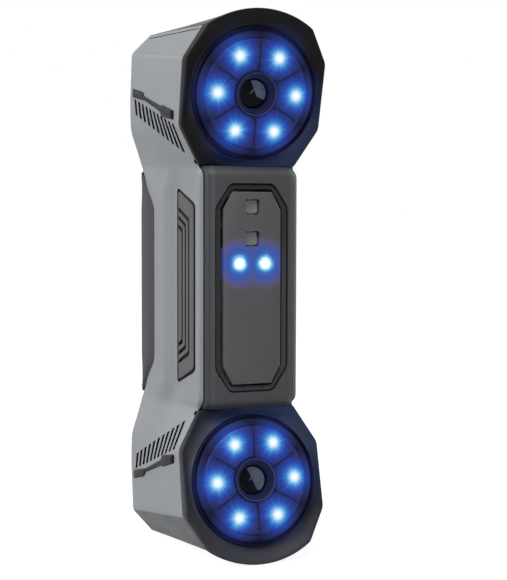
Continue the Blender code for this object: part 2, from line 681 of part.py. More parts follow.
for side_name, side in EACH_SIDE:
    rows = [[p and (side * p[0], p[1], p[2]) for p in row] for row in mirrored_down(upper_rows())]
    if side > 0:
        rows = [list(reversed(row)) for row in rows]
    shell = skin_shell(side_name + "_side_shell", rows, WALL, GREY_SHELL)
    shell.modifiers.new("Planar faces", "TRIANGULATE")
    boolean(shell, prism(offset_outline(PAD_OUTLINE, SEAM), side * (WAIST_HALF_WIDTH + OVERRUN),
                         side * (WAIST_HALF_WIDTH - OVERRUN), "X"))
    outer = HEAD_HALF_WIDTH + OVERRUN
    for head_name, sign in EACH_HEAD:
        boolean(shell, prism(spine_bed(), sign * SHOULDER_Z, sign * (HALF_HEIGHT + OVERRUN), "Z"))
        shell.modifiers[-1].use_self = True
        recess = prism(bar_outline(sign, SEAM), side * outer, side * (HEAD_HALF_WIDTH - BAR_RECESS), "X")
        boolean(shell, recess)
        for index in range(VENT_COUNT):
            boolean(shell, prism(vent_outline(sign, index), side * outer, side * WAIST_HALF_WIDTH, "X"))
        bar = prism(bar_outline(sign, 0), side * (HEAD_HALF_WIDTH + BAR_PROUD),
                    side * (HEAD_HALF_WIDTH - BAR_RECESS + SEAM), "X")
        add_object(head_name + "_" + side_name + "_vent_bar", bar, DARK_SHELL, smooth=False)
    apply_modifiers(shell)


# Side pads: rubber inlays in the waist, bevelled, with three nested bracket grooves

def groove_outline(depth, index):
    """A bracket whose long run is at this depth and whose arms lean back with the pad's ends."""
    slope = (PAD_HEEL_REACH - PAD_NOSE_REACH) / (PAD_HEEL_DEPTH - PAD_NOSE_DEPTH)
    reach = PAD_NOSE_REACH - PAD_GROOVE_DROP + slope * (depth - PAD_NOSE_DEPTH)
    reach -= PAD_GROOVE_PITCH_SHARE * (depth - PAD_GROOVE_DEPTHS[0])
    end = PAD_BACK_DEPTH - PAD_GROOVE_END_SET
    far = reach + slope * (end - depth)
    inner = depth + PAD_GROOVE
    return [(depth, -reach), (end, -far), (end, -far + PAD_GROOVE), (inner, -reach + PAD_GROOVE),
            (inner, reach - PAD_GROOVE), (end, far - PAD_GROOVE), (end, far), (depth, reach)]


for side_name, side in EACH_SIDE:
    face = WAIST_HALF_WIDTH
    rings = [(PAD_BEVEL, face), (0, face - PAD_BEVEL), (0, face - PAD_THICKNESS)]
    pad = add_object(side_name + "_grip_pad", ring_loft([
        [(side * x, *p) for p in offset_outline(PAD_OUTLINE, -inset)] for inset, x in rings], False), PAD_RUBBER)
    for index, depth in enumerate(PAD_GROOVE_DEPTHS):
        boolean(pad, prism(groove_outline(depth, index), side * (face + OVERRUN),
                           side * (face - PAD_GROOVE_CUT), "X"))
    apply_modifiers(pad)


# Rear spine: the dark cover over both ends and the back, sunk under the grip along the waist

SPINE_SHARES = (-1, -0.75, -0.5, -0.25, 0, 0.25, 0.5, 0.75, 1)


def crown_z(x, half_width, edge_drop):
    """Height of the crown across the head: round at the hood, flatter at the back."""
    return HALF_HEIGHT - edge_drop * (x / half_width) ** 2


def spine_rows():
    rows = []
    front_half = CROWN_HALF_WIDTH - EDGE_CLEARANCE
    row = []
    for share in SPINE_SHARES:
        x = share * front_half
        z = HALF_HEIGHT - CROWN_RADIUS + math.sqrt(CROWN_RADIUS ** 2 - x ** 2)
        row.append((x, joint_y(z) + 2 * SEAM, z))
    rows.append(row)
    half = CROWN_BACK_HALF_WIDTH - EDGE_CLEARANCE
    rows.append([(s * half, CROWN_BACK_DEPTH, crown_z(s * half, CROWN_BACK_HALF_WIDTH, CROWN_BACK_DROP))
                 for s in SPINE_SHARES])
    half = SPINE_HALF_WIDTH - EDGE_CLEARANCE
    for y, z in ((BODY_BACK - SHOULDER_BACK_CUT, HALF_HEIGHT - SHOULDER_BACK_DROP),
                 (BODY_BACK, BACK_BEND_Z),
                 (BODY_BACK, NECK_BACK_Z + WALL)):
        rows.append([(s * half, y, z) for s in SPINE_SHARES])
    half = GRIP_FLAT_HALF_WIDTH - EDGE_CLEARANCE
    rows.append([(s * half, SPINE_WAIST_DEPTH, NECK_BACK_Z + SEAM) for s in SPINE_SHARES])
    return rows


rows = mirrored_down(spine_rows())
spine = skin_shell("rear_spine_cover", rows, WALL, DARK_SHELL)
back_cut = BODY_BACK + OVERRUN
front_cut = SPINE_WAIST_DEPTH - WALL - OVERRUN
for height, radius in zip(KEY_HEIGHTS, KEY_RADII):
    boolean(spine, prism(circle_outline(radius + SEAM, 0, height), front_cut, back_cut, "Y"))
boolean(spine, prism(rectangle(LIGHT_BAR_HALF_LENGTH + SEAM, LIGHT_BAR_HALF_HEIGHT + SEAM, 0, LIGHT_BAR_Z),
                     front_cut, back_cut, "Y"))
boolean(spine, prism(circle_outline(SOCKET_RADIUS + SEAM, 0, SOCKET_Z), front_cut, back_cut, "Y"))
apply_modifiers(spine)


# Rear grip: a rubber sleeve round the back of the waist, with a window for the keys

GRIP_SECTION_STEPS = 7
GRIP_TOP_SHARES = (0.93, 0.62, 0.36, 0.14, 0.05, 0)


def grip_row(z, boundary, squeeze, dip=0):
    """Half a section from the shell's edge round to the middle of the back; squeeze narrows it at the ends."""
    edge = HIP_HALF_WIDTH
    swell = mix(GRIP_SWELL, 0, squeeze)
    y_swell = max(GRIP_SWELL_DEPTH, mix(boundary, BODY_BACK, 0.45))
    corner = (mix(GRIP_CORNER_HALF_WIDTH, edge - GRIP_CORNER_CUT, squeeze), BODY_BACK - GRIP_CORNER_CUT)
    flat = KEY_WINDOW_HALF_WIDTH + OVERRUN
    return [(edge, boundary, z - dip),
            (edge + swell * 0.8, mix(boundary, y_swell, 0.33), z - dip * 0.85),
            (edge + swell, y_swell, z - dip * 0.7),
            (corner[0], max(corner[1], mix(y_swell, BODY_BACK, 0.6)), z - dip * 0.5),
            (GRIP_FLAT_HALF_WIDTH, BODY_BACK, z),
            (flat, BODY_BACK, z),
            (0, BODY_BACK, z)]


GRIP_REACHES = [NECK_BACK_Z - SEAM] + GRIP_SWEEP_REACHES
GRIP_EDGE_SHARES = (0.885, 0.76) + GRIP_SWEEP_SHARES[1:]
GRIP_DIPS = (GRIP_DIP, 0, 0, 0, 0, 0)
half_rows = []
for reach, squeeze, share, dip in zip(GRIP_REACHES, GRIP_TOP_SHARES, GRIP_EDGE_SHARES, GRIP_DIPS):
    half_rows.append(grip_row(reach, grip_sweep_depth(share) + 2 * SEAM, squeeze, dip))
half_rows = mirrored_down(half_rows)
rows = []
for row in half_rows:
    left = [(-x, y, z) for x, y, z in row]
    right = [(x, y, z) for x, y, z in reversed(row[:-1])]
    rows.append(left + right)
grip = skin_shell("rear_grip", rows, GRIP_WALL, GRIP_RUBBER)
sweep = [(grip_sweep_depth(share), reach) for reach, share in zip(GRIP_SWEEP_REACHES, GRIP_SWEEP_SHARES)]
sweep = [(BODY_BACK - BACK_EDGE_CHAMFER, NECK_BACK_Z)] + sweep
for side_name, side in EACH_SIDE:
    for head_name, sign in EACH_HEAD:
        edge = [(y + 3 * SEAM, sign * z) for y, z in sweep]
        edge += [(STEP_TOP_DEPTH, edge[-1][1]), (STEP_TOP_DEPTH, edge[0][1])]
        inner = HIP_HALF_WIDTH - WALL - SEAM
        boolean(grip, prism(edge, side * inner, side * (HIP_HALF_WIDTH + OVERRUN), "X"))
window_top = KEY_HEIGHTS[0] + KEY_WINDOW_MARGIN
window_foot = KEY_HEIGHTS[-1] - KEY_WINDOW_MARGIN
boolean(grip, prism(rounded_rectangle(KEY_WINDOW_HALF_WIDTH, (window_top - window_foot) / 2, KEY_WINDOW_CORNER,
                                      0, (window_top + window_foot) / 2), SPINE_WAIST_DEPTH, back_cut, "Y"))
apply_modifiers(grip)


# Front cover: a bowed tray between the two hoods, with a faint centre ridge and a flange under each hood

def cover_row(reach, set_back):
    edge = WAIST_EDGE_HALF_WIDTH - 2 * SEAM
    half = [(edge, WAIST_EDGE_DEPTH), (COVER_CORNER_HALF_WIDTH, COVER_CORNER_DEPTH),
            (BEZEL_SIDE_HALF_WIDTH + SEAM * 2, COVER_FACE_DEPTH)]
    middle = (0, COVER_FACE_DEPTH - COVER_RIDGE)
    section = half + [middle] + [(-x, y) for x, y in reversed(half)]
    return [(x, y + set_back, reach) for x, y in section]


end_reach = NECK_Z - SEAM
flange_share = (NECK_HALF_WIDTH - WALL - 2 * EDGE_CLEARANCE) / WAIST_EDGE_HALF_WIDTH
cover_rows = [[(x * flange_share, y + COVER_FLANGE, z) for x, y, z in cover_row(end_reach, COVER_END_SET_BACK)],
              cover_row(end_reach, COVER_END_SET_BACK), cover_row(WAIST_END_REACH, 0)]
cover = skin_shell("front_centre_cover", mirrored_down(cover_rows), WALL, DARK_SHELL)


def eight_sided(end_half, end_reach_, side_half, side_reach):
    half = [(end_half, -end_reach_), (side_half, -side_reach), (side_half, side_reach), (end_half, end_reach_)]
    return half + [(-x, z) for x, z in reversed(half)]


BEZEL_OUTLINE = eight_sided(BEZEL_END_HALF_WIDTH, BEZEL_END_REACH, BEZEL_SIDE_HALF_WIDTH, BEZEL_SIDE_REACH)
PANEL_OUTLINE = eight_sided(PANEL_END_HALF_WIDTH, PANEL_END_REACH, PANEL_SIDE_HALF_WIDTH, PANEL_SIDE_REACH)
boolean(cover, prism(offset_outline(BEZEL_OUTLINE, SEAM), -OVERRUN, COVER_FACE_DEPTH + WALL + OVERRUN, "Y"))
apply_modifiers(cover)

inner_outline = offset_outline(PANEL_OUTLINE, SEAM)
bezel_back = COVER_FACE_DEPTH + BEZEL_DISH + WALL
bezel_rings = ((BEZEL_OUTLINE, COVER_FACE_DEPTH), (inner_outline, COVER_FACE_DEPTH + BEZEL_DISH),
               (inner_outline, bezel_back), (BEZEL_OUTLINE, bezel_back))
add_object("window_bezel", ring_loft([[(x, y, z) for x, z in outline] for outline, y in bezel_rings], True),
           HOOD_BLACK, smooth=False)

panel_rings = ((PANEL_BEVEL, PANEL_DEPTH), (0, PANEL_DEPTH + PANEL_BEVEL), (0, PANEL_DEPTH + PANEL_THICKNESS))
panel = add_object("laser_window_panel", ring_loft(
    [[(x, y, z) for x, z in offset_outline(PANEL_OUTLINE, -inset)] for inset, y in panel_rings], False),
    PANEL_FILTER, smooth=False)
panel_back = PANEL_DEPTH + PANEL_THICKNESS + OVERRUN
for height in PANE_HEIGHTS:
    half = PANE_SIZE / 2 + SEAM
    boolean(panel, prism(rounded_rectangle(half, half, half / 4, 0, height, steps=2), -OVERRUN, panel_back, "Y"))
for side_name, side in EACH_SIDE:
    hole = circle_outline(LAMP_RADIUS + SEAM, side * LAMP_HALF_SPACING, LAMP_HEIGHT)
    boolean(panel, prism(hole, -OVERRUN, panel_back, "Y"))
apply_modifiers(panel)

for place, height in zip(("upper", "lower"), PANE_HEIGHTS):
    front = PANEL_DEPTH + PANE_RECESS
    half = PANE_SIZE / 2
    add_object(place + "_projector_window",
               prism(rounded_rectangle(half, half, half / 4, 0, height, steps=2), front, front + PANE_THICKNESS, "Y"),
               PANE_GLASS)
    projector = lathe(((0, 0), (PROJECTOR_NOSE_RADIUS, 0), (PROJECTOR_NOSE_RADIUS, PROJECTOR_NOSE),
                       (PROJECTOR_RADIUS, PROJECTOR_NOSE),
                       (PROJECTOR_RADIUS, FRAME_WAIST_DEPTH - front - PANE_THICKNESS - SEAM * 2),
                       (0, FRAME_WAIST_DEPTH - front - PANE_THICKNESS - SEAM * 2)), SMALL_ROUND_STEPS)
    along_y(add_object(place + "_line_projector", projector, CAMERA_METAL), 0,
            front + PANE_THICKNESS + SEAM, height)

for side_name, side in EACH_SIDE:
    lamp = lathe(((0, -LAMP_DOME), (LAMP_RADIUS / 2, -LAMP_DOME * 3 / 4), (LAMP_RADIUS, 0),
                  (LAMP_RADIUS, PANEL_THICKNESS), (0, PANEL_THICKNESS)), SMALL_ROUND_STEPS)
    along_y(add_object(side_name + "_marker_lamp", lamp, LAMP_BLUE), side * LAMP_HALF_SPACING, PANEL_DEPTH,
            LAMP_HEIGHT)


# Lens hoods: arched brow, eight-sided rim, dished face and round bore, all one thin moulding

OUTLINE_STEPS = (3, 4, 2, 12, 2, 4, 3, 6)


def head_outline(inset):
    """Closed outline across a head, starting at the right neck corner; the crown is an arc."""
    half_crown = CROWN_HALF_WIDTH - inset
    radius = CROWN_RADIUS - inset
    centre = HALF_HEIGHT - CROWN_RADIUS
    crown = (half_crown, centre + math.sqrt(radius ** 2 - half_crown ** 2))
    shoulder = (HEAD_HALF_WIDTH - inset, SHOULDER_Z)
    foot = (HEAD_HALF_WIDTH - inset, SIDE_FOOT_Z)
    neck = (NECK_HALF_WIDTH - inset / 2, NECK_Z + inset)
    corners = [neck, foot, shoulder, crown, (-crown[0], crown[1]), (-shoulder[0], shoulder[1]),
               (-foot[0], foot[1]), (-neck[0], neck[1])]
    points = []
    for index, steps in enumerate(OUTLINE_STEPS):
        start = corners[index]
        end = corners[(index + 1) % len(corners)]
        for i in range(steps):
            x, z = mix_points(start, end, i / steps)
            if index == 3:
                z = centre + math.sqrt(radius ** 2 - x ** 2)
            points.append((x, z))
    return points


def hood_mesh(sign):
    def bore_ring(height):
        ring = []
        for x, z in head_outline(0):
            angle = math.atan2((z - LENS_Z) * math.cos(TOE_IN), x)
            across = BORE_RADIUS * math.cos(angle)
            up = BORE_RADIUS * math.sin(angle)
            ring.append((across,
                         -LENS_FRONT - up * math.sin(TOE_IN) - height * math.cos(TOE_IN),
                         sign * (LENS_Z + up * math.cos(TOE_IN) - height * math.sin(TOE_IN))))
        return ring

    rings = [[(x, joint_y(z), sign * z) for x, z in head_outline(0)],
             [(x, rim_y(z), sign * z) for x, z in head_outline(RIM_TAPER)],
             [(x, rim_y(z), sign * z) for x, z in head_outline(RIM_TAPER + LIP)],
             bore_ring(0),
             bore_ring(-BORE_DEPTH),
             [(x, joint_y(z), sign * z) for x, z in head_outline(WALL)]]
    return ring_loft(rings, True)


for head_name, sign in EACH_HEAD:
    add_object(head_name + "_lens_hood", hood_mesh(sign), HOOD_BLACK)


# Light ring, lens and camera of each head, turned about the lens axis

ring_edge = BORE_RADIUS - SEAM
ring_hole = DIFFUSER_RADIUS + SEAM
ring_profile = ((ring_edge, -RING_DEPTH), (ring_edge, 0), (ring_edge - RING_FACE, RING_FACE),
                (ring_hole, RING_DOME), (ring_hole, RING_DOME - RING_DEPTH), (ring_hole + RING_WALL, -RING_DEPTH))
diffuser_back = DIFFUSER_TOP - DIFFUSER_THICKNESS
diffuser_mid = (DIFFUSER_RADIUS + DIFFUSER_HOLE) / 2
diffuser_profile = ((DIFFUSER_RADIUS, diffuser_back), (DIFFUSER_RADIUS, DIFFUSER_TOP),
                    (diffuser_mid, DIFFUSER_TOP + DIFFUSER_CROWN), (DIFFUSER_HOLE, DIFFUSER_TOP),
                    (DIFFUSER_HOLE, diffuser_back))
barrel_front = DIFFUSER_TOP + BARREL_PROUD
barrel_back = barrel_front - BARREL_DEPTH
seat = barrel_front - LENS_DEPTH - LENS_THICKNESS - SEAM
barrel_profile = ((BARREL_RADIUS, barrel_back), (BARREL_RADIUS, barrel_front - RING_FACE),
                  (BARREL_RADIUS - RING_FACE, barrel_front), (BARREL_MOUTH, barrel_front),
                  (BARREL_BORE + SEAM, barrel_front - BARREL_STEP), (BARREL_BORE + SEAM, seat),
                  (BARREL_BORE - RING_WALL, seat), (BARREL_BORE - RING_WALL, barrel_back))
lens_face = barrel_front - LENS_DEPTH
lens_profile = ((0, lens_face + LENS_CROWN), (BARREL_BORE / 2, lens_face + LENS_CROWN * 3 / 4),
                (BARREL_BORE, lens_face), (BARREL_BORE, lens_face - LENS_THICKNESS),
                (0, lens_face - LENS_THICKNESS))
led_face = diffuser_back - LED_HEIGHT - SEAM
board_profile = ((DIFFUSER_RADIUS - SEAM, led_face), (DIFFUSER_HOLE, led_face),
                 (DIFFUSER_HOLE, led_face - BOARD_THICKNESS), (DIFFUSER_RADIUS - SEAM, led_face - BOARD_THICKNESS))

for head_name, sign in EACH_HEAD:
    on_lens_axis(add_object(head_name + "_ring_bezel", lathe(ring_profile), HOOD_BLACK), sign)
    on_lens_axis(add_object(head_name + "_light_diffuser", lathe(diffuser_profile), DIFFUSER_BLUE), sign)
    barrel = add_object(head_name + "_lens_barrel", lathe(barrel_profile, SMALL_ROUND_STEPS), BARREL_BLACK)
    on_lens_axis(barrel, sign)
    lens = add_object(head_name + "_front_lens", lathe(lens_profile, SMALL_ROUND_STEPS), LENS_GLASS)
    on_lens_axis(lens, sign)
    board = add_object(head_name + "_led_board", lathe(board_profile, SMALL_ROUND_STEPS), BOARD_GREEN)
    on_lens_axis(board, sign)
    for index in range(LED_COUNT):
        angle = 2 * math.pi * index / LED_COUNT
        spot = (LED_CIRCLE * math.cos(angle), LED_CIRCLE * math.sin(angle))
        led = prism(rectangle(LED_SIZE / 2, LED_SIZE / 2, *spot), led_face - BOARD_THICKNESS / 2,
                    led_face + LED_HEIGHT, "Z")
        on_lens_axis(boolean(board, led, "UNION"), sign)
    apply_modifiers(board)
    camera_front = barrel_back - SEAM
    half = CAMERA_SIDE / 2
    body = ring_loft([[(x, y, h) for x, y in rounded_rectangle(half - inset, half - inset, CAMERA_BEVEL * 2)]
                      for inset, h in ((CAMERA_BEVEL, camera_front), (0, camera_front - CAMERA_BEVEL),
                                       (0, camera_front - CAMERA_LENGTH))], False)
    on_lens_axis(add_object(head_name + "_camera_body", body, CAMERA_METAL), sign)


# Chassis: one bent plate that carries both cameras at their angle, the projectors and the boards

frame_height = camera_front - CAMERA_LENGTH - SEAM


def on_frame_head(along):
    """A point on the tilted head of the chassis, measured along it from the lens axis."""
    y = -LENS_FRONT - frame_height * math.cos(TOE_IN) - along * math.sin(TOE_IN)
    z = LENS_Z - frame_height * math.sin(TOE_IN) + along * math.cos(TOE_IN)
    return y, z


frame_rows = []
for along in (FRAME_HEAD_HALF_HEIGHT, -FRAME_HEAD_HALF_HEIGHT):
    y, z = on_frame_head(along)
    frame_rows.append([(FRAME_HEAD_HALF_WIDTH, y, z), (-FRAME_HEAD_HALF_WIDTH, y, z)])
frame_rows.append([(FRAME_WAIST_HALF_WIDTH, FRAME_WAIST_DEPTH, FRAME_JOG_REACH),
                   (-FRAME_WAIST_HALF_WIDTH, FRAME_WAIST_DEPTH, FRAME_JOG_REACH)])
frame = skin_shell("optical_frame", mirrored_down(frame_rows), FRAME_THICKNESS, FRAME_METAL)
post_start = FRAME_WAIST_DEPTH + FRAME_THICKNESS / 2
post_end = SPINE_WAIST_DEPTH - WALL - SEAM
for side_name, side in EACH_SIDE:
    for head_name, sign in EACH_HEAD:
        post = circle_outline(POST_RADIUS, side * POST_HALF_SPACING, sign * POST_REACH, POST_STEPS)
        boolean(frame, prism(post, post_start, post_end, "Y"), "UNION")
apply_modifiers(frame)

board_front = FRAME_WAIST_DEPTH + FRAME_THICKNESS + SEAM
add_object("main_board", prism(rectangle(MAIN_BOARD_HALF_WIDTH, MAIN_BOARD_HALF_HEIGHT), board_front,
                               board_front + BOARD_THICKNESS, "Y"), BOARD_GREEN, smooth=False)

sink_front = board_front + BOARD_THICKNESS + SEAM
fin_pitch = (2 * SINK_HALF_WIDTH - SINK_FIN) / (SINK_FINS - 1)
comb = [(-SINK_HALF_WIDTH, sink_front), (SINK_HALF_WIDTH, sink_front)]
for index in reversed(range(SINK_FINS)):
    left = -SINK_HALF_WIDTH + index * fin_pitch
    comb += [(left + SINK_FIN, sink_front + SINK_HEIGHT), (left, sink_front + SINK_HEIGHT)]
    if index:
        comb += [(left, sink_front + SINK_BASE), (left - fin_pitch + SINK_FIN, sink_front + SINK_BASE)]
add_object("processor_heat_sink", prism(comb, -SINK_HALF_HEIGHT, SINK_HALF_HEIGHT, "Z"), SINK_METAL,
           smooth=False)


# Cooling fans behind the chassis heads; each rotor turns on the lens axis

fan_front = frame_height - FRAME_THICKNESS - SEAM


def blade_outline(turn):
    points = []
    step = 2 * math.pi / FAN_BLADES
    for index in range(FAN_BLADES):
        base = index * step + turn
        for radius, share in ((FAN_HUB, 0), (FAN_TIP, 0.1), (FAN_TIP, 0.45), (FAN_HUB, 0.5)):
            points.append((radius * math.cos(base + share * step), radius * math.sin(base + share * step)))
    return points


for head_name, sign in EACH_HEAD:
    fan = add_object(head_name + "_fan_frame", prism(
        rounded_rectangle(FAN_SIDE / 2, FAN_SIDE / 2, FAN_STRUT, steps=2), fan_front, fan_front - FAN_DEPTH, "Z"),
        FAN_BLACK)
    on_lens_axis(fan, sign)
    bore_start = fan_front + OVERRUN
    bore_end = fan_front - FAN_DEPTH - OVERRUN
    bore = lathe(((0, bore_start), (FAN_BORE, bore_start), (FAN_BORE, bore_end), (0, bore_end)),
                 SMALL_ROUND_STEPS)
    on_lens_axis(boolean(fan, bore), sign)
    spider_back = fan_front - FAN_DEPTH
    spider_front = spider_back + FAN_SPIDER
    strut = FAN_STRUT / 2
    reach = (FAN_SIDE / 2 + FAN_BORE) / 2
    for half_x, half_y in ((reach, strut), (strut, reach)):
        on_lens_axis(boolean(fan, prism(rectangle(half_x, half_y), spider_back, spider_front, "Z"), "UNION"), sign)
    disc = lathe(((0, spider_front), (FAN_HUB, spider_front), (FAN_HUB, spider_back), (0, spider_back)),
                 SMALL_ROUND_STEPS)
    on_lens_axis(boolean(fan, disc, "UNION"), sign)
    apply_modifiers(fan)

    rotor_back = spider_front + SEAM
    rings = []
    for level in (0, FAN_ROTOR):
        share = level / FAN_ROTOR
        rings.append([(x, y, level) for x, y in blade_outline(FAN_PITCH * share)])
    rotor = add_object(head_name + "_fan_rotor", ring_loft(rings, False), FAN_BLACK, smooth=False)
    on_lens_axis(rotor, sign, rotor_back)


# Keys through the spine, over their dome switches, and the status light

key_inner = SPINE_WAIST_DEPTH - WALL
flange_top = key_inner - SEAM
flange_foot = flange_top - KEY_FLANGE_THICKNESS
dome_top = flange_foot - KEY_TRAVEL - SEAM / 3
board_face = dome_top - DOME_HEIGHT
for name, height, radius in zip(KEY_NAMES, KEY_HEIGHTS, KEY_RADII):
    crown = SPINE_WAIST_DEPTH + KEY_PROUD - flange_foot
    flange = flange_top - flange_foot
    key = lathe(((0, 0), (radius + KEY_FLANGE, 0), (radius + KEY_FLANGE, flange), (radius, flange),
                 (radius, crown - KEY_CROWN), (radius - KEY_CROWN * 2, crown), (0, crown)), SMALL_ROUND_STEPS)
    along_y(add_object(name, key, KEY_RUBBER), 0, flange_foot, height)

board_top = KEY_HEIGHTS[0] + KEY_BOARD_MARGIN
board_foot = KEY_HEIGHTS[-1] - KEY_BOARD_MARGIN
key_board = add_object("key_board", prism(
    rectangle(KEY_BOARD_HALF_WIDTH, (board_top - board_foot) / 2, 0, (board_top + board_foot) / 2),
    board_face - BOARD_THICKNESS, board_face, "Y"), BOARD_GREEN, smooth=False)
for height in KEY_HEIGHTS:
    dome = circle_outline(DOME_RADIUS, 0, height, POST_STEPS)
    boolean(key_board, prism(dome, board_face - BOARD_THICKNESS / 2, dome_top, "Y"), "UNION")
post_margin = BOARD_POST_RADIUS * 2
for side_name, side in EACH_SIDE:
    for height in (board_top - post_margin, board_foot + post_margin):
        post = circle_outline(BOARD_POST_RADIUS, side * BOARD_POST_HALF_SPACING, height, POST_STEPS)
        boolean(key_board, prism(post, board_face - BOARD_THICKNESS / 2, key_inner - SEAM, "Y"), "UNION")
apply_modifiers(key_board)

add_object("status_light_bar", prism(
    rectangle(LIGHT_BAR_HALF_LENGTH, LIGHT_BAR_HALF_HEIGHT, 0, LIGHT_BAR_Z), BODY_BACK - WALL,
    BODY_BACK - LIGHT_BAR_SINK, "Y"), LIGHT_BAR, smooth=False)


# Cable socket: a turned cup behind the lower head's back, with a moulded contact insert

cup_front = BODY_BACK - SOCKET_DEPTH
flange_back = BODY_BACK - WALL - SEAM
cup = lathe(((0, 0), (SOCKET_RADIUS, 0), (SOCKET_RADIUS, flange_back - SOCKET_FLANGE - cup_front),
             (SOCKET_RADIUS + SOCKET_FLANGE, flange_back - SOCKET_FLANGE - cup_front),
             (SOCKET_RADIUS + SOCKET_FLANGE, flange_back - cup_front),
             (SOCKET_RADIUS, flange_back - cup_front),
             (SOCKET_RADIUS, SOCKET_DEPTH - SOCKET_SINK), (SOCKET_BORE + SEAM, SOCKET_DEPTH - SOCKET_SINK),
             (SOCKET_BORE + SEAM, SOCKET_FLOOR), (0, SOCKET_FLOOR)), SMALL_ROUND_STEPS)
along_y(add_object("cable_socket_shell", cup, SOCKET_METAL), 0, cup_front, SOCKET_Z)
insert = lathe(((0, 0), (SOCKET_BORE, 0), (SOCKET_BORE, INSERT_THICKNESS), (0, INSERT_THICKNESS)),
               SMALL_ROUND_STEPS)
along_y(add_object("socket_insert", insert, INSERT_PLASTIC), 0, cup_front + SOCKET_FLOOR + SEAM, SOCKET_Z)
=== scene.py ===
"""Looks of a hand-held 3-D scanner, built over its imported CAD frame.

All the sizes in the sections are in millimetres, measured from the middle of the laser window's face:
x across the body, y back from the window, z up. Each piece is brought to the frame, in metres, when it is set.
"""

import math

import bmesh
import bpy
from mathutils import Matrix, Vector


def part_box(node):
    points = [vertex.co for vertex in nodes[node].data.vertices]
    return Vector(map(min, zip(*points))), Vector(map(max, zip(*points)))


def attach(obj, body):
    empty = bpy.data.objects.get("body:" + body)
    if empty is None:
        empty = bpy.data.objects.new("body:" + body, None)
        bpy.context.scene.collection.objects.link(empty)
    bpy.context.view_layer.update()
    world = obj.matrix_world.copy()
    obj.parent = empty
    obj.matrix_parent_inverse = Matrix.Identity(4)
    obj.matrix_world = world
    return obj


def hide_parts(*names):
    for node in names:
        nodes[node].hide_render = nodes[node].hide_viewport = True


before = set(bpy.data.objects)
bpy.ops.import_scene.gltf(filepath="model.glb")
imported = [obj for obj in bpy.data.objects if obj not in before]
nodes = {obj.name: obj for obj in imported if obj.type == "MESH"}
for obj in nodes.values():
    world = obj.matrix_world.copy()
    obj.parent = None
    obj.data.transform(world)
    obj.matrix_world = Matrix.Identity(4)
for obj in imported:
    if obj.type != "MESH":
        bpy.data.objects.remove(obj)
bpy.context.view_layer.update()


# Side shells
# Two grey injection-moulded halves in spark-eroded ABS. Each runs from the upper head's shoulder down the
# S-shaped flank, along the stepped waist and out to the lower head. They carry the vent slots and the pad pockets.

SIDES = (("left", -1), ("right", 1))
HEADS = (("upper", 1), ("lower", -1))
CORNERS = [(f"{head_name}_{side_name}", side, sign) for side_name, side in SIDES for head_name, sign in HEADS]
WINDOW_PLACE = (0, -0.03926465, 0.149)
HALF_HEIGHT = 149
HEAD_HALF = 40.5
WAIST_HALF = 28.5
HIP_HALF = 34.0
HEAD_BACK_HALF = 41.2
CROWN_HALF = 30.0
CROWN_RADIUS = 54.0
CROWN_CENTRE = 95
CROWN_BACK = 71.6
CROWN_BACK_HALF = 34.4
CROWN_BACK_Z = 143.9
SHOULDER_Z = 122.5
SHOULDER_BACK_Z = 134.4
BACK = 91.2
CHAMFER_BACK = 88.2
LENS_Y = -3.0
LENS_Z = 104.8
NECK_Z = 66.5
NECK_BACK_Z = 68.5
NECK_TURN_Z = 62.3
TOE_IN = math.radians(10)
JOINT_Y = 3.5
SEAM = 0.3
STEP_PLACES = (44.8, 50.0, 62.0)
SWEEP = ((84.67, 63.4), (80.07, 56.37), (74.02, 50.9), (69.06, 46.7), (67.0, 43.0))
SHELL_WALL = 1.5
LOWER_DROP = 3.2
DROP_START = 20
DROP_RUN = 62
CROWN_SHARE = 0.7


def joint_y(z):
    """The plane on which the hood meets the shells behind it."""
    return JOINT_Y - math.tan(TOE_IN) * (abs(z) - LENS_Z)


def crown_z(x, inset=0.0):
    """The height of the arch over a head's end."""
    return CROWN_CENTRE + math.sqrt((CROWN_RADIUS - inset) ** 2 - x ** 2)


def mix(a, b, share):
    return a + (b - a) * share


def soften(line, cuts, steps=4):
    """Gives each inner corner of a line a small arc that starts its cut before the corner."""
    points = [list(line[0])]
    for before, here, after, cut in zip(line, line[1:], line[2:], cuts[1:]):
        back = math.dist(before[:3], here[:3])
        ahead = math.dist(here[:3], after[:3])
        start = min(0.46, cut / back) if back else 0
        end = min(0.46, cut / ahead) if ahead else 0
        for k in range(steps + 1):
            t = k / steps
            back_pull, ahead_pull = (1 - t) ** 2 * start, t * t * end
            points.append([h + (b - h) * back_pull + (a - h) * ahead_pull for b, h, a in zip(before, here, after)])
    points.append(list(line[-1]))
    return points


def even_inset(rows, absent, thickness):
    """The move that brings each corner of a coarse grid inward by an even wall thickness."""
    bm = bmesh.new()
    corners = {}

    def corner(point):
        key = tuple(round(v, 4) for v in point[:3])
        if key not in corners:
            corners[key] = bm.verts.new(key)
        return corners[key]

    for r in range(len(rows) - 1):
        for c in range(len(rows[0]) - 1):
            ring = [corner(p) for p in (rows[r][c], rows[r][c + 1], rows[r + 1][c + 1], rows[r + 1][c])]
            ring = list(dict.fromkeys(ring))
            if len(ring) > 2 and not absent(r, c):
                bm.faces.new(ring)
    bm.normal_update()
    insets = [[-corner(p).normal * corner(p).calc_shell_factor() * thickness for p in row] for row in rows]
    bm.free()
    return insets


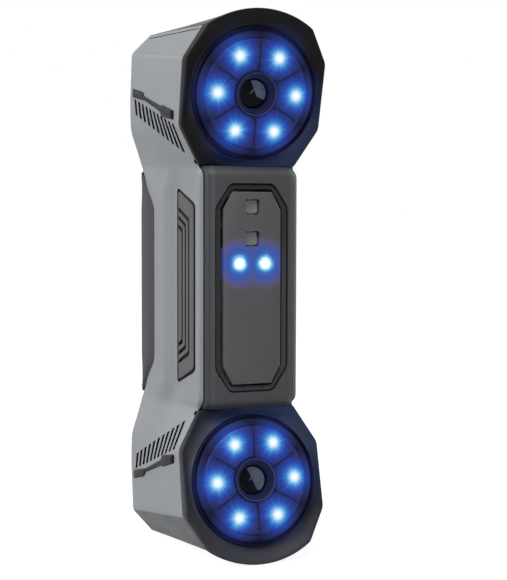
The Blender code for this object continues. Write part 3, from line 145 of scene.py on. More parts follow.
def walled_skin(rows, row_cut, column_cut, thickness, absent=lambda r, c: False, steps=4):
    """Rounds a coarse grid of points both ways and closes it into a wall. Rows run left to right seen from outside."""
    insets = even_inset(rows, absent, thickness)
    lines = [[[*p, column_cut(r, c), *insets[r][c]] for c, p in enumerate(row)] for r, row in enumerate(rows)]
    columns = []
    for c in range(len(rows[0])):
        columns.append(soften([row[c] for row in lines], [row_cut(r, c) for r in range(len(rows))], steps))
    fine = []
    for line in zip(*columns):
        fine.append(soften(line, [p[3] for p in line], steps))
    bm = bmesh.new()
    outer = {}
    inner = {}

    def pair(point):
        key = tuple(round(v, 4) for v in point[:3])
        if key not in outer:
            outer[key] = bm.verts.new(key)
            inner[outer[key]] = bm.verts.new([point[i] + point[i + 4] for i in range(3)])
        return outer[key]

    span = steps + 1
    faces = set()
    for r in range(len(fine) - 1):
        for c in range(len(fine[0]) - 1):
            ring = [pair(p) for p in (fine[r][c], fine[r][c + 1], fine[r + 1][c + 1], fine[r + 1][c])]
            ring = list(dict.fromkeys(ring))
            coarse = ((r + steps // 2) // span, (c + steps // 2) // span)
            if len(ring) < 3 or frozenset(ring) in faces or absent(*coarse):
                continue
            faces.add(frozenset(ring))
            bm.faces.new(ring)
            bm.faces.new([inner[v] for v in reversed(ring)])
    for edge in [e for e in bm.edges if len(e.link_faces) == 1 and e.verts[0] in inner]:
        a, b = edge.verts
        bm.faces.new((a, b, inner[b], inner[a]))
    bmesh.ops.delete(bm, geom=[v for v in bm.verts if not v.link_faces], context="VERTS")
    bmesh.ops.recalc_face_normals(bm, faces=bm.faces)
    return bm


def new_object(name, bm):
    mesh = bpy.data.meshes.new(name)
    bm.to_mesh(mesh)
    bm.free()
    obj = bpy.data.objects.new(name, mesh)
    bpy.context.scene.collection.objects.link(obj)
    return obj


def settle_modifiers(obj):
    """Makes an object's modified shape its own mesh and drops the modifiers."""
    graph = bpy.context.evaluated_depsgraph_get()
    mesh = bpy.data.meshes.new_from_object(obj.evaluated_get(graph), depsgraph=graph)
    obj.modifiers.clear()
    obj.data = mesh


def cut_away(obj, bm):
    """Takes a solid out of a piece."""
    tool = new_object(obj.name + "_tool", bm)
    modifier = obj.modifiers.new("Cut", "BOOLEAN")
    modifier.solver = "EXACT"
    modifier.object = tool
    settle_modifiers(obj)
    bpy.data.objects.remove(tool)


def set_piece(obj, look, slot, *stands_for, body="scanner_body", sharp=40):
    """Brings a piece from millimetres at the window to the frame, gives it its finish and ties it to its body."""
    obj.data.transform(Matrix.Translation(WINDOW_PLACE) @ Matrix.Scale(0.001, 4))
    if sharp:
        obj.data.shade_smooth()
        obj.data.set_sharp_from_angle(angle=math.radians(sharp))
    obj.data.materials.clear()
    obj.data.materials.append(look)
    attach(obj, body)
    if stands_for:
        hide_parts(*stands_for)


def loft(rings, hollow=False):
    """Joins rings of equal count. Where it is hollow the last meets the first; otherwise both ends are capped."""
    bm = bmesh.new()
    loops = [[bm.verts.new(p) for p in ring] for ring in rings]
    pairs = list(zip(loops, loops[1:]))
    if hollow:
        pairs.append((loops[-1], loops[0]))
    count = len(rings[0])
    for a, b in pairs:
        for i in range(count):
            j = (i + 1) % count
            bm.faces.new((a[i], a[j], b[j], b[i]))
    if not hollow:
        bm.faces.new(loops[0])
        bm.faces.new(loops[-1])
    bmesh.ops.recalc_face_normals(bm, faces=bm.faces)
    return bm


def rounded(outline, radius, steps=3):
    """A closed flat outline with each corner rounded."""
    closed = [outline[-1]] + list(outline) + [outline[0]]
    return [tuple(p) for p in soften(closed, [radius] * len(closed), steps)[1:-1]]


def grown(outline, distance):
    """A convex outline with each side moved outward."""
    count = len(outline)
    area = sum(outline[i - 1][0] * outline[i][1] - outline[i][0] * outline[i - 1][1] for i in range(count))
    turn = 1 if area > 0 else -1
    moved = []
    for i in range(count):
        into = (Vector(outline[i]) - Vector(outline[i - 1])).normalized()
        out = (Vector(outline[(i + 1) % count]) - Vector(outline[i])).normalized()
        first = Vector((into.y, -into.x)) * turn
        middle = (first + Vector((out.y, -out.x)) * turn).normalized()
        moved.append(tuple(Vector(outline[i]) + middle * (distance / middle.dot(first))))
    return moved


def round_outline(radius, x=0.0, y=0.0, steps=40):
    turns = [2 * math.pi * i / steps for i in range(steps)]
    return [(x + radius * math.cos(a), y + radius * math.sin(a)) for a in turns]


def slab(outline, start, end, axis):
    """A flat outline drawn out from start to end along x or y."""
    at = "xyz".index(axis)
    return loft([[(*p[:at], level, *p[at:]) for p in outline] for level in (start, end)])


class Wire:
    """One socket of a node tree. Arithmetic on it adds Math nodes to the tree."""

    def __init__(self, tree, socket):
        self.tree = tree
        self.socket = socket

    def math(self, operation, *values):
        return add_node(self.tree, "ShaderNodeMath", dict(enumerate(values)), operation=operation)

    def __add__(self, other):
        return self.math("ADD", self, other)

    def __sub__(self, other):
        return self.math("SUBTRACT", self, other)

    def __rsub__(self, other):
        return self.math("SUBTRACT", other, self)

    def __mul__(self, other):
        return self.math("MULTIPLY", self, other)

    def __truediv__(self, other):
        return self.math("DIVIDE", self, other)

    def __pow__(self, other):
        return self.math("POWER", self, other)

    def __mod__(self, other):
        return self.math("FLOORED_MODULO", self, other)

    def __abs__(self):
        return self.math("ABSOLUTE", self)

    def least(self, other):
        return self.math("MINIMUM", self, other)

    def most(self, other):
        return self.math("MAXIMUM", self, other)

    def fade(self, start, end, low=0.0, high=1.0):
        """Goes smoothly from low at start to high at end."""
        return add_node(self.tree, "ShaderNodeMapRange", {"Value": self, "From Min": start, "From Max": end,
                                                          "To Min": low, "To Max": high},
                        interpolation_type="SMOOTHSTEP")

    def split(self):
        """The three parts of a vector."""
        parts = add_node(self.tree, "ShaderNodeSeparateXYZ", {0: self}).socket.node
        return [Wire(self.tree, socket) for socket in parts.outputs]


def add_node(tree, kind, values=None, output=0, **settings):
    """Adds a node, makes its settings, then gives its sockets their values or links. Returns one output."""
    node = tree.nodes.new(kind)
    for name, setting in settings.items():
        setattr(node, name, setting)
    for name, value in (values or {}).items():
        if isinstance(value, Wire):
            tree.links.new(value.socket, node.inputs[name])
        else:
            node.inputs[name].default_value = value
    return Wire(tree, node.outputs[output])


class Look:
    """A material being made: one Principled shader, with even values on its own sockets."""

    def __init__(self, name, **even):
        self.material = bpy.data.materials.new(name)
        self.material.use_nodes = True
        self.tree = self.material.node_tree
        self.shader = self.tree.nodes["Principled BSDF"]
        for socket, value in even.items():
            self.shader.inputs[socket.replace("_", " ")].default_value = value
        self.place = self.node("ShaderNodeTexCoord", output="Object")

    def node(self, kind, values=None, output=0, **settings):
        return add_node(self.tree, kind, values, output, **settings)

    def feed(self, **wires):
        for socket, wire in wires.items():
            self.tree.links.new(wire.socket, self.shader.inputs[socket.replace("_", " ")])

    def noise(self, size, detail=2.0, roughness=0.5):
        """Noise about 0.5, with lumps of a size in millimetres."""
        return self.node("ShaderNodeTexNoise", {"Vector": self.place, "Scale": 1000 / size, "Detail": detail,
                                                "Roughness": roughness})

    def blend(self, factor, first, second):
        """A colour between two colours, each a wire or red, green and blue."""
        first, second = (c if isinstance(c, Wire) else (*c, 1.0) for c in (first, second))
        return self.node("ShaderNodeMix", {0: factor, 6: first, 7: second}, 2, data_type="RGBA")

    def bump(self, height, depth):
        """A normal from a height, whose full range is a depth in millimetres."""
        return self.node("ShaderNodeBump", {"Height": height, "Distance": depth / 1000, "Strength": 1.0})


def shade(colour, factor):
    return tuple(min(1.0, c * factor) for c in colour)


def moulded(name, colour, roughness, grain=0.35, depth=0.012, mottle=0.05, inside=None, zone=None, **even):
    """Moulded plastic: spark-eroded grain, a faint cloudiness in its colour and uneven sheen from handling. Where the
    piece is marked as inside, it has the given dark colour as painted shade. A zone, a function that gives a factor
    and a number, is that many times as light as the rest, as painted light or shade."""
    look = Look(name, **even)
    cloud = look.noise(38, 3.0)
    fine = look.noise(grain, 2.0, 0.6)
    streak = look.noise(9, 4.0, 0.65)
    tone = cloud.fade(0.3, 0.7) * 0.7 + fine * 0.3
    skin = look.blend(tone, shade(colour, 1 - mottle), shade(colour, 1 + mottle))
    if zone:
        factor, times = zone(look)
        skin = look.blend(factor, skin, shade(colour, times))
    if inside:
        marked = look.node("ShaderNodeAttribute", output="Fac", attribute_name="painted_shade_inside")
        skin = look.blend(marked, skin, inside)
    look.feed(Base_Color=skin,
              Roughness=streak.fade(0.3, 0.75, roughness - 0.05, roughness + 0.05) + fine * 0.04,
              Normal=look.bump(fine, depth))
    return look.material


def head_row(x_front, z_front, x_back, z_back, y_back, x_step):
    """One line round a head, from the hood's joint back to the spine."""
    y_front = joint_y(z_front) + SEAM
    row = [(x_front, y_front, z_front)]
    for y, x in zip((y_front + 2, *STEP_PLACES), (x_front, *x_step)):
        row.append((x, y, mix(z_front, z_back, (y - y_front) / (y_back - y_front))))
    return row + [(x_back, y_back - 1.2, z_back), (x_back - 1.2, y_back, z_back), (CROWN_HALF, y_back, z_back)]


def waist_row(reach, boundary, back_reach, step=(WAIST_HALF, HIP_HALF, HIP_HALF)):
    """One line round the waist, from the front cover back to the grip's edge."""
    row = [(26.9, 5.1, reach), (29.1, 6.1, reach)]
    for x, y in zip(step, STEP_PLACES):
        row.append((x, y, mix(reach, back_reach, (y - 7) / (boundary - 7))))
    return row + [(HIP_HALF - x, boundary + y, back_reach) for x, y in ((0, 0), (1, 2), (3, 3))]


def shell_rows(drop):
    """The lines of one head's half and the waist below it. The lower head is deeper towards its back by a drop."""
    z_crown = crown_z(CROWN_HALF)
    y_crown = joint_y(z_crown) + SEAM
    sink = CROWN_SHARE * drop
    crown = []
    for y in (y_crown, y_crown + 2, *STEP_PLACES, CROWN_BACK, CROWN_BACK, CROWN_BACK):
        share = (y - y_crown) / (CROWN_BACK - y_crown)
        crown.append((mix(CROWN_HALF, CROWN_BACK_HALF, share), y, mix(z_crown, CROWN_BACK_Z + sink, share)))
    even = (HEAD_HALF,) * 3
    rows = [crown, head_row(HEAD_HALF, SHOULDER_Z, HEAD_BACK_HALF, SHOULDER_BACK_Z + sink, CHAMFER_BACK, even),
            head_row(HEAD_HALF, 105.0, HEAD_BACK_HALF, 119.0 + 0.8 * drop, 89.7, even)]
    for share, x_back in zip((0, 0.25, 0.5, 0.75, 1), (41.2, 41.2, 40.9, 37.2, HIP_HALF)):
        step = [mix(HEAD_HALF, x, share) for x in (30.0, 31.0, 33.6)]
        rows.append(head_row(mix(HEAD_HALF, 28, share), mix(87, NECK_Z, share), x_back,
                             mix(109.5 + drop, NECK_BACK_Z, share), BACK, step))
    rows.append(waist_row(NECK_TURN_Z, *SWEEP[0], (29.0, 32.0, 33.9)))
    return rows + [waist_row(z, y, z) for y, z in SWEEP[1:]]


def down_mirrored(rows, lower=None):
    """Adds the lower half, so that the rows run from the top to the bottom."""
    return rows + [[(x, y, -z) for x, y, z in row] for row in reversed(lower or rows)]


def lowered(y, z, sign):
    """A place on a head's side with its height's sign, moved by the lower head's drop."""
    drop = LOWER_DROP if sign < 0 else 0
    return y, sign * (z + drop * max(0, y - DROP_START) / DROP_RUN)


HEAD_ROWS = 8
LAST_ROW = 25
SHELL_FOLDS = (0, 2.2, 3.6, 3.2, 4.5, 4.5, 4.5, 3.0, 2.6, 3.0, 3.0, 3.0, 3.0)
COLUMN_FOLDS = (0, 0.8, 0.7, 0.9, 5.0, 0.7, 0.7, 0)
PAD_OUTLINE = [(13.6, -44.0), (16.0, -46.2), (40.4, -54.2), (42.2, -52.9),
               (42.2, 52.9), (40.4, 54.2), (16.0, 46.2), (13.6, 44.0)]
BAR_OUTLINE = ((14.0, 95.8), (32.1, 100.2), (36.0, 100.2), (64.0, 107.7), (66.5, 110.4), (85.0, 114.1),
               (85.0, 109.0), (66.5, 105.6), (64.0, 105.3), (36.0, 96.6), (32.1, 93.3), (14.0, 90.9))


def waist_gap(r, c):
    """The waist's back is left to the rubber grip."""
    return c >= 5 and HEAD_ROWS - 1 <= r <= LAST_ROW - HEAD_ROWS


def shell_row_cut(r, c):
    r = min(r, LAST_ROW - r)
    return 0.1 if r == HEAD_ROWS - 1 and c >= 5 else SHELL_FOLDS[r]


def shell_column_cut(r, c):
    return 0.02 if c >= 5 and min(r, LAST_ROW - r) >= HEAD_ROWS else COLUMN_FOLDS[c]


def open_group(name, **sizes):
    """Opens a geometry-nodes tree with an input for each size and a last one for the material."""
    tree = bpy.data.node_groups.new(name, "GeometryNodeTree")
    kinds = {int: "NodeSocketInt", float: "NodeSocketFloat", tuple: "NodeSocketVector"}
    for key, value in sizes.items():
        socket = tree.interface.new_socket(key.replace("_", " "), in_out="INPUT", socket_type=kinds[type(value)])
        socket.default_value = value
    tree.interface.new_socket("Material", in_out="INPUT", socket_type="NodeSocketMaterial")
    tree.interface.new_socket("Geometry", in_out="OUTPUT", socket_type="NodeSocketGeometry")
    entry = tree.nodes.new("NodeGroupInput")
    return tree, [Wire(tree, socket) for socket in list(entry.outputs)[:len(sizes) + 1]]


def close_group(tree, geometry, material):
    real = add_node(tree, "GeometryNodeRealizeInstances", {"Geometry": geometry})
    done = add_node(tree, "GeometryNodeSetMaterial", {"Geometry": real, "Material": material})
    leave = tree.nodes.new("NodeGroupOutput")
    tree.links.new(done.socket, leave.inputs["Geometry"])
    return tree


def joined(tree, *parts):
    return add_node(tree, "ShaderNodeCombineXYZ", dict(enumerate(parts)))


def vent_row_tree():
    """Geometry nodes: a fan of leaning slots between a front and a back slot, each a thin box through the wall."""
    tree, (count, width, inner_x, outer_x, row_length, front_top, front_foot, back_top, back_foot,
           material) = open_group("vent_slot_row", Count=11, Width=3.4, Inner_X=26.0, Outer_X=45.0, Row_Length=63.1,
                                  Front_Top=(0, 17.4, 88.9), Front_Foot=(0, 21.0, 74.1),
                                  Back_Top=(0, 80.5, 107.2), Back_Foot=(0, 79.5, 98.0))
    cube = add_node(tree, "GeometryNodeMeshCube", {"Size": (1.0, 1.0, 1.0)})
    cube = add_node(tree, "GeometryNodeTransform", {"Geometry": cube, "Translation": (0.5, 0.0, 0.5)})
    cube = add_node(tree, "GeometryNodeStoreNamedAttribute",
                    {"Geometry": cube, "Name": "corner", "Value": add_node(tree, "GeometryNodeInputPosition")},
                    data_type="FLOAT_VECTOR")
    line = add_node(tree, "GeometryNodeMeshLine", {"Count": count})
    slots = add_node(tree, "GeometryNodeInstanceOnPoints", {"Points": line, "Instance": cube})
    slots = add_node(tree, "GeometryNodeStoreNamedAttribute",
                     {"Geometry": slots, "Name": "share",
                      "Value": add_node(tree, "GeometryNodeInputIndex") / (count - 1)},
                     data_type="FLOAT", domain="INSTANCE")
    slots = add_node(tree, "GeometryNodeRealizeInstances", {"Geometry": slots})
    share = add_node(tree, "GeometryNodeInputNamedAttribute", {"Name": "share"}, data_type="FLOAT")
    corner = add_node(tree, "GeometryNodeInputNamedAttribute", {"Name": "corner"}, data_type="FLOAT_VECTOR")
    x, y, z = corner.split()

    def between(first, second, factor):
        return add_node(tree, "ShaderNodeMix", {0: factor, 4: first, 5: second}, 1, data_type="VECTOR",
                        clamp_factor=False)

    place = share + y * width / row_length
    spot = between(between(front_foot, back_foot, place), between(front_top, back_top, place), z)
    across = joined(tree, inner_x + (outer_x - inner_x) * x)
    spot = add_node(tree, "ShaderNodeVectorMath", {0: spot, 1: across}, operation="ADD")
    slots = add_node(tree, "GeometryNodeSetPosition", {"Geometry": slots, "Position": spot})
    return close_group(tree, slots, material)


def grown_from(tree, name, look, **values):
    """Runs a geometry-nodes tree with these inputs and keeps its result as a plain mesh object."""
    obj = new_object(name, bmesh.new())
    modifier = obj.modifiers.new("Made by nodes", "NODES")
    modifier.node_group = tree
    inputs = {item.name: item.identifier for item in tree.interface.items_tree if item.in_out == "INPUT"}
    modifier[inputs["Material"]] = look
    for key, value in values.items():
        modifier[inputs[key.replace("_", " ")]] = value
    settle_modifiers(obj)
    return obj


# Painted shade: between these places the shell's inside is darkened.
SHADE_FRONT = 12.0
SHADE_BACK = 87.5
SHADE_REACH = 112


def mark_shaded_inside(mesh, side):
    """Marks the shell's inner skin and the walls of its slots and pockets, which are darkened as painted shade."""
    mark = mesh.attributes.new("painted_shade_inside", "FLOAT", "FACE")
    for face in mesh.polygons:
        reached = SHADE_FRONT < face.center.y < SHADE_BACK and abs(face.center.z) < SHADE_REACH
        mark.data[face.index].value = float(face.normal.x * side < 0.5 and reached)


def shaded_end_chamfers(look):
    """Painted shade on the chamfers of the two ends: dark at the lower one, on which the scanner stands, and a little
    darker than the side at the upper one."""
    across, back, up = look.place.split()
    rise = (back * 1000 + 41.6) * 0.156
    below = HALF_HEIGHT - SHOULDER_Z - up * 1000 - rise
    above = up * 1000 - HALF_HEIGHT - SHOULDER_Z - rise * 0.86
    return below.fade(-0.3, 0.6) + above.fade(-0.3, 0.6, 0.0, 0.32), 0.38


# Painted shade on the end chamfers, and inside the shell and its slot and pocket walls.
GREY_SHELL = moulded("grey_shell_plastic", (0.300, 0.314, 0.330), 0.42, 0.45, 0.010, 0.025,
                     inside=(0.012, 0.012, 0.013), zone=shaded_end_chamfers, Specular_IOR_Level=0.1)
PAD_GAP = 0.6
PAD_FRONT_GAP = 1.5
PAD_TUCK = 0.4
PAD_MIDDLE = 30
CATCH_Z = 68.4


def catch_outline(radius, sign):
    """A hood's catch, or its notch in the shell, seen from the side."""
    return round_outline(radius, joint_y(CATCH_Z) + 1.5, sign * CATCH_Z, 16)


vent_tree = vent_row_tree()
for side_name, side in SIDES:
    rows = [[(-x, y, z) for x, y, z in row] for row in down_mirrored(shell_rows(0), shell_rows(LOWER_DROP))]
    skin = walled_skin(rows, shell_row_cut, shell_column_cut, SHELL_WALL, waist_gap)
    if side > 0:
        skin.transform(Matrix.Scale(-1, 4, (1, 0, 0)))
        bmesh.ops.reverse_faces(skin, faces=skin.faces)
    shell = new_object(side_name + "_shell_moulding", skin)
    pocket = [(y - (PAD_FRONT_GAP if y < PAD_MIDDLE else PAD_TUCK), z) for y, z in grown(PAD_OUTLINE, PAD_GAP)]
    cut_away(shell, slab(rounded(pocket, 1.0), side * 24, side * 33, "x"))
    for sign in (1, -1):
        bed = [lowered(y, z, sign) for y, z in BAR_OUTLINE]
        cut_away(shell, slab(rounded(bed, 0.5), side * (HEAD_HALF - 0.6), side * 45, "x"))
        cut_away(shell, slab(catch_outline(1.4, sign), side * 26, side * 36, "x"))
        slots = grown_from(vent_tree, "slots", GREY_SHELL, Inner_X=side * 26.0, Outer_X=side * 45.0,
                           Front_Top=(0, *lowered(17.4, 88.9, sign)), Front_Foot=(0, *lowered(21.0, 74.1, sign)),
                           Back_Top=(0, *lowered(80.5, 107.2, sign)), Back_Foot=(0, *lowered(79.5, 98.0, sign)))
        bm = bmesh.new()
        bm.from_mesh(slots.data)
        bmesh.ops.recalc_face_normals(bm, faces=bm.faces)
        bpy.data.objects.remove(slots)
        cut_away(shell, bm)
    mark_shaded_inside(shell.data, side)
    set_piece(shell, GREY_SHELL, "grey_shell", side_name + "_side_shell", sharp=32)


# Vent trim bars
# Dark satin dumbbell strips pressed into shallow beds above and below the vent rows, proud by about a millimetre.
# They are moulded apart from the shell and have soft edges.

def bar_nose(look):
    """The front end of a strip, which is in the shadow of the bed's edge."""
    back = look.place.split()[1] * 1000 + 39.3
    return back.fade(17.6, 16.4), 0.1


BAR_PLASTIC = moulded("trim_bar_plastic", (0.036, 0.036, 0.038), 0.6, 0.40, 0.010, 0.06, zone=bar_nose,
                      Specular_IOR_Level=0.1)
for corner, side, sign in CORNERS:
    outline = [lowered(y, z, sign) for y, z in BAR_OUTLINE]
    rings = []
    for shrink, rise in ((0.3, -0.3), (0.3, 0.5), (0.7, 0.95), (1.3, 1.2)):
        rings.append([(side * (HEAD_HALF + rise), y, z) for y, z in rounded(grown(outline, -shrink), 0.7)])
    set_piece(new_object(corner + "_trim_bar", loft(rings)), BAR_PLASTIC, "dark_shell", corner + "_vent_bar",
              sharp=25)


# Dust screens, black as painted shade
# Fine black woven nylon sheets, glued inside the shells behind the vent slots, one to each row. They keep dust from
# the boards and stop the view through the body, and their black stands in as painted shade inside the slots.

SCREEN_NYLON = moulded("dust_and_shade_screen_nylon", (0.010, 0.010, 0.011), 0.8, 0.5, 0.05, 0.2, Specular_IOR_Level=0.05)
for corner, side, sign in CORNERS:
    sheet = [lowered(y, z, sign) for y, z in ((15.5, 72.8), (84.0, 95.5), (84.0, 110.5), (15.5, 92.0))]
    set_piece(new_object(corner + "_dust_and_shade_screen", slab(sheet, side * 28.8, side * 29.2, "x")), SCREEN_NYLON,
              "dark_shell")


# Grip pads
# Soft rubber inlays glued into the pockets of the waist, with a broad bevel at the front and three nested
# bracket grooves that give the fingers hold.

def groove_outline(depth, width):
    """A bracket whose arms run level with the pad's slanted ends."""
    slope = (54.9 - 46.2) / (40.4 - 16.0)
    reach = 46.2 - 10.8 + slope * (depth - 16.0) - 0.90 * (depth - 23.2)
    end = 41.0
    far = reach + slope * (end - depth)
    half = [(depth, reach), (end, far), (end, far - width), (depth + width, reach - width)]
    return [(y, -z) for y, z in half] + half[::-1]


def rubber(name, colour, roughness, grain, depth, top=None):
    """Moulded rubber: a dull, fine-grained skin with dust-light high spots. Below its top face, given as a distance in
    millimetres from the middle plane, it is darkened nearly to black as painted shade in its grooves and pocket gap."""
    look = Look(name, Sheen_Weight=0.08, Sheen_Roughness=0.6, Specular_IOR_Level=0.35)
    fine = look.noise(grain, 3.0, 0.65)
    cloud = look.noise(26, 3.0)
    tone = fine * 0.5 + cloud.fade(0.3, 0.7) * 0.5
    skin = look.blend(tone, shade(colour, 0.9), shade(colour, 1.1))
    if top:
        across = abs(look.place.split()[0]) * 1000
        skin = look.blend(across.fade(top - 0.32, top - 0.06), shade(colour, 0.12), skin)
    look.feed(Base_Color=skin,
              Roughness=fine.fade(0.3, 0.7, roughness - 0.04, roughness + 0.06),
              Normal=look.bump(fine, depth))
    return look.material


PAD_TOP = 28.3
# The pads' grooves and front gap are darkened as painted shade.
PAD_RUBBER = rubber("pad_rubber_skin", (0.098, 0.091, 0.098), 0.72, 0.5, 0.03, PAD_TOP)
for side_name, side in SIDES:
    rings = []
    for shrink, x, front in ((-1.8, 25.2, -0.5), (-1.8, 26.7, -0.5), (0.8, 26.8, 2.4), (0.8, 27.8, 2.4),
                             (0.9, 28.1, 2.4), (1.1, 28.25, 2.5), (1.5, PAD_TOP, 2.7)):
        outline = [(y + (front if y < PAD_MIDDLE else PAD_TUCK), z) for y, z in grown(PAD_OUTLINE, -shrink)]
        rings.append([(side * x, y, z) for y, z in rounded(outline, 0.9)])
    pad = new_object(side_name + "_pad_inlay", loft(rings))
    for depth in (23.2, 28.6, 34.0):
        cut_away(pad, slab(rounded(groove_outline(depth, 2.1), 0.6), side * 26.6, side * 30, "x"))
    set_piece(pad, PAD_RUBBER, "pad_rubber", side_name + "_grip_pad")


# Rear spine cover
# One dark moulding over both crowned ends and down the back, sunk under the rubber grip along the waist.
# The keys, the status light and the cable socket come through it, and eight screws sit in it.

def spine_rows(drop):
    shares = [i / 12 - 1 for i in range(25)]
    full, widest = CROWN_HALF - 0.8, CROWN_BACK_HALF - 0.8
    sink = CROWN_SHARE * drop
    sag = 5.1 - sink
    rows = [[(s * full, joint_y(crown_z(s * full)) + 2 * SEAM, crown_z(s * full)) for s in shares]]
    rows.append([(s * widest, CROWN_BACK, HALF_HEIGHT - sag * (s * widest / CROWN_BACK_HALF) ** 2) for s in shares])
    for half, y, z in ((full, CHAMFER_BACK, SHOULDER_BACK_Z + sink), (full, BACK, 105.0), (full, BACK, 70.5),
                       (26.2, 87.9, 68.8)):
        rows.append([(s * half, y, z) for s in shares])
    return rows


def oblong(half, low, high, middle=0.0):
    return [(middle - half, low), (middle + half, low), (middle + half, high), (middle - half, high)]


spine = new_object("rear_spine_moulding", walled_skin(
    down_mirrored(spine_rows(0), spine_rows(LOWER_DROP)),
    lambda r, c: (0, 4.0, 3.0, 4.0, 1.0, 1.0)[min(r, 11 - r)], lambda r, c: 1.0, 1.6, steps=2))
KEY_PLACES = (("plus_key", 60.0, 3.6), ("scan_key", 48.5, 5.2), ("minus_key", 36.5, 3.6), ("mode_key", 26.5, 3.4))
SOCKET_Z = -92.99
LIGHT_Z = 79
SCREW_Z = 88
SCREW_STEP = 15.6
CLEARANCE = 0.3
holes = [round_outline(radius + CLEARANCE, 0, height) for name, height, radius in KEY_PLACES]
holes.append(rounded(oblong(8.3, LIGHT_Z - 1.5, LIGHT_Z + 1.5), 0.8))
holes.append(round_outline(8.0 + CLEARANCE, 0, SOCKET_Z))
holes += [round_outline(2.9, x, sign * SCREW_Z + rise, 24) for x in (-SCREW_STEP, SCREW_STEP)
          for sign in (-1, 1) for rise in (-SCREW_STEP, SCREW_STEP)]
for hole in holes:
    cut_away(spine, slab(hole, 80, 95, "y"))
DARK_SHELL = moulded("dark_shell_plastic", (0.056, 0.058, 0.063), 0.5, 0.40, 0.010, 0.06, Specular_IOR_Level=0.15)
set_piece(spine, DARK_SHELL, "dark_shell", "rear_spine_cover", sharp=32)


# Seam seals
# Black foam strips glued inside along the joints of the spine cover and the side shells, one to each seam and head,
# and one down each side under the rubber grip's edge. They keep light and dust out.

SEAL_FOAM = moulded("seal_foam_black", (0.012, 0.012, 0.013), 0.9, 0.8, 0.05, 0.15, Specular_IOR_Level=0.05)
seam_line = ((29.6, joint_y(138.4) + 2.5, 138.4), (34.0, 70.8, 141.7), (29.6, 86.2, 133.2), (29.6, 89.3, 104.6),
             (29.6, 89.3, 71.2))
SEAL_HALF = 1.7
for corner, side, sign in CORNERS:
    strip = [[(side * x - SEAL_HALF, y, sign * z), (side * x + SEAL_HALF, y, sign * z)] for x, y, z in seam_line]
    seal = walled_skin(strip[::sign], lambda r, c: 0.6, lambda r, c: 0.1, 1.0, steps=2)
    set_piece(new_object(corner + "_seam_seal", seal), SEAL_FOAM, "dark_shell")
for side_name, side in SIDES:
    strip = slab(oblong(3.0, -44.0, 44.0, 67.5), side * 30.2, side * 31.2, "x")
    set_piece(new_object(side_name + "_waist_seal", strip), SEAL_FOAM, "dark_shell")


# Rear grip
# A rubber sleeve round the back of the waist. It swells a little past the shells, sweeps back towards both heads
# and has a window for the keys.

def grip_half_row(z, boundary, squeeze, dip):
    swell = mix(2.8, 0, squeeze)
    y_swell = max(84.0, mix(boundary, BACK, 0.45))
    return [(HIP_HALF, boundary, z - dip),
            (HIP_HALF + swell * 0.8, mix(boundary, y_swell, 0.33), z - dip * 0.85),
            (HIP_HALF + swell, y_swell, z - dip * 0.7),
            (mix(33.5, 31.8, squeeze), max(89.0, mix(y_swell, BACK, 0.6)), z - dip * 0.5),
            (27.0, BACK, z), (12.8, BACK, z), (0, BACK, z)]


grip_rows = []
for z, squeeze, share, dip in zip((68.2, *(z for y, z in SWEEP)), (0.93, 0.62, 0.36, 0.14, 0.05, 0),
                                  (0.885, 0.76, 0.54, 0.29, 0.085, 0), (4.2, 0, 0, 0, 0, 0)):
    half = grip_half_row(z, 67.0 + 24.2 * share + 0.6, squeeze, dip)
    grip_rows.append([(-x, y, z) for x, y, z in half] + half[-2::-1])
grip = new_object("rear_grip_sleeve", walled_skin(
    down_mirrored(grip_rows), lambda r, c: (0, 2.5, 3.0, 3.0, 3.0, 4.0)[min(r, 11 - r)],
    lambda r, c: (0, 4.0, 4.0, 2.6, 3.0, 1.0, 0.5)[min(c, 12 - c)], 2.6))
sweep_edge = soften([(90.2, 68.5), *SWEEP, (67.0, 20.0)], [3.0] * 7)
for side in (-1, 1):
    for sign in (1, -1):
        edge = [(y + 0.5, sign * z) for y, z in sweep_edge]
        edge += [(50, edge[-1][1]), (50, sign * 72), (90.7, sign * 72)]
        cut_away(grip, slab(edge, side * 31.5, side * 38, "x"))
cut_away(grip, slab(rounded(oblong(8.8, 20.5, 66.0), 3.0, 5), 87.0, 95, "y"))
GRIP_RUBBER = rubber("grip_rubber_skin", (0.051, 0.049, 0.053), 0.74, 0.6, 0.04)
set_piece(grip, GRIP_RUBBER, "grip_rubber", "rear_grip")


# Front centre cover
# A bowed dark tray between the two hoods, with a faint ridge down its middle and bevelled long edges.
# The window's bezel sits in its cut-out.

def cover_row(reach, set_back, narrower=1.0):
    half = [(26.3, 5.3), (25.4, 3.0), (21.8, 1.0)]
    section = half + [(0, 0.5)] + [(-x, y) for x, y in reversed(half)]
    return [(x * narrower, y + set_back, reach) for x, y in section]


cover_rows = [cover_row(66.2, 8.5, 24.9 / 26.9), cover_row(66.2, 4.0), cover_row(NECK_TURN_Z, 0)]
cover = new_object("front_cover_moulding", walled_skin(
    down_mirrored(cover_rows), lambda r, c: (0, 0.6, 2.0)[min(r, 5 - r)],
    lambda r, c: (0, 0.8, 1.2, 1.0)[min(c, 6 - c)], 1.6))


def eight_sided(end_half, end_reach, side_half, side_reach):
    half = [(end_half, -end_reach), (side_half, -side_reach), (side_half, side_reach), (end_half, end_reach)]
    return half + [(-x, z) for x, z in reversed(half)]


BEZEL_OUTLINE = eight_sided(12.8, 56.7, 21.2, 43.9)
PANEL_OUTLINE = eight_sided(11.3, 52.5, 16.8, 42.7)
cut_away(cover, slab(rounded(grown(BEZEL_OUTLINE, 0.3), 2.6, 5), -5, 12, "y"))


def shaded_cover_edges(look):
    """Painted shade on the bevels along the tray's long edges, which are half as light as its face."""
    across = abs(look.place.split()[0]) * 1000
    return across.fade(22.6, 24.2), 0.5


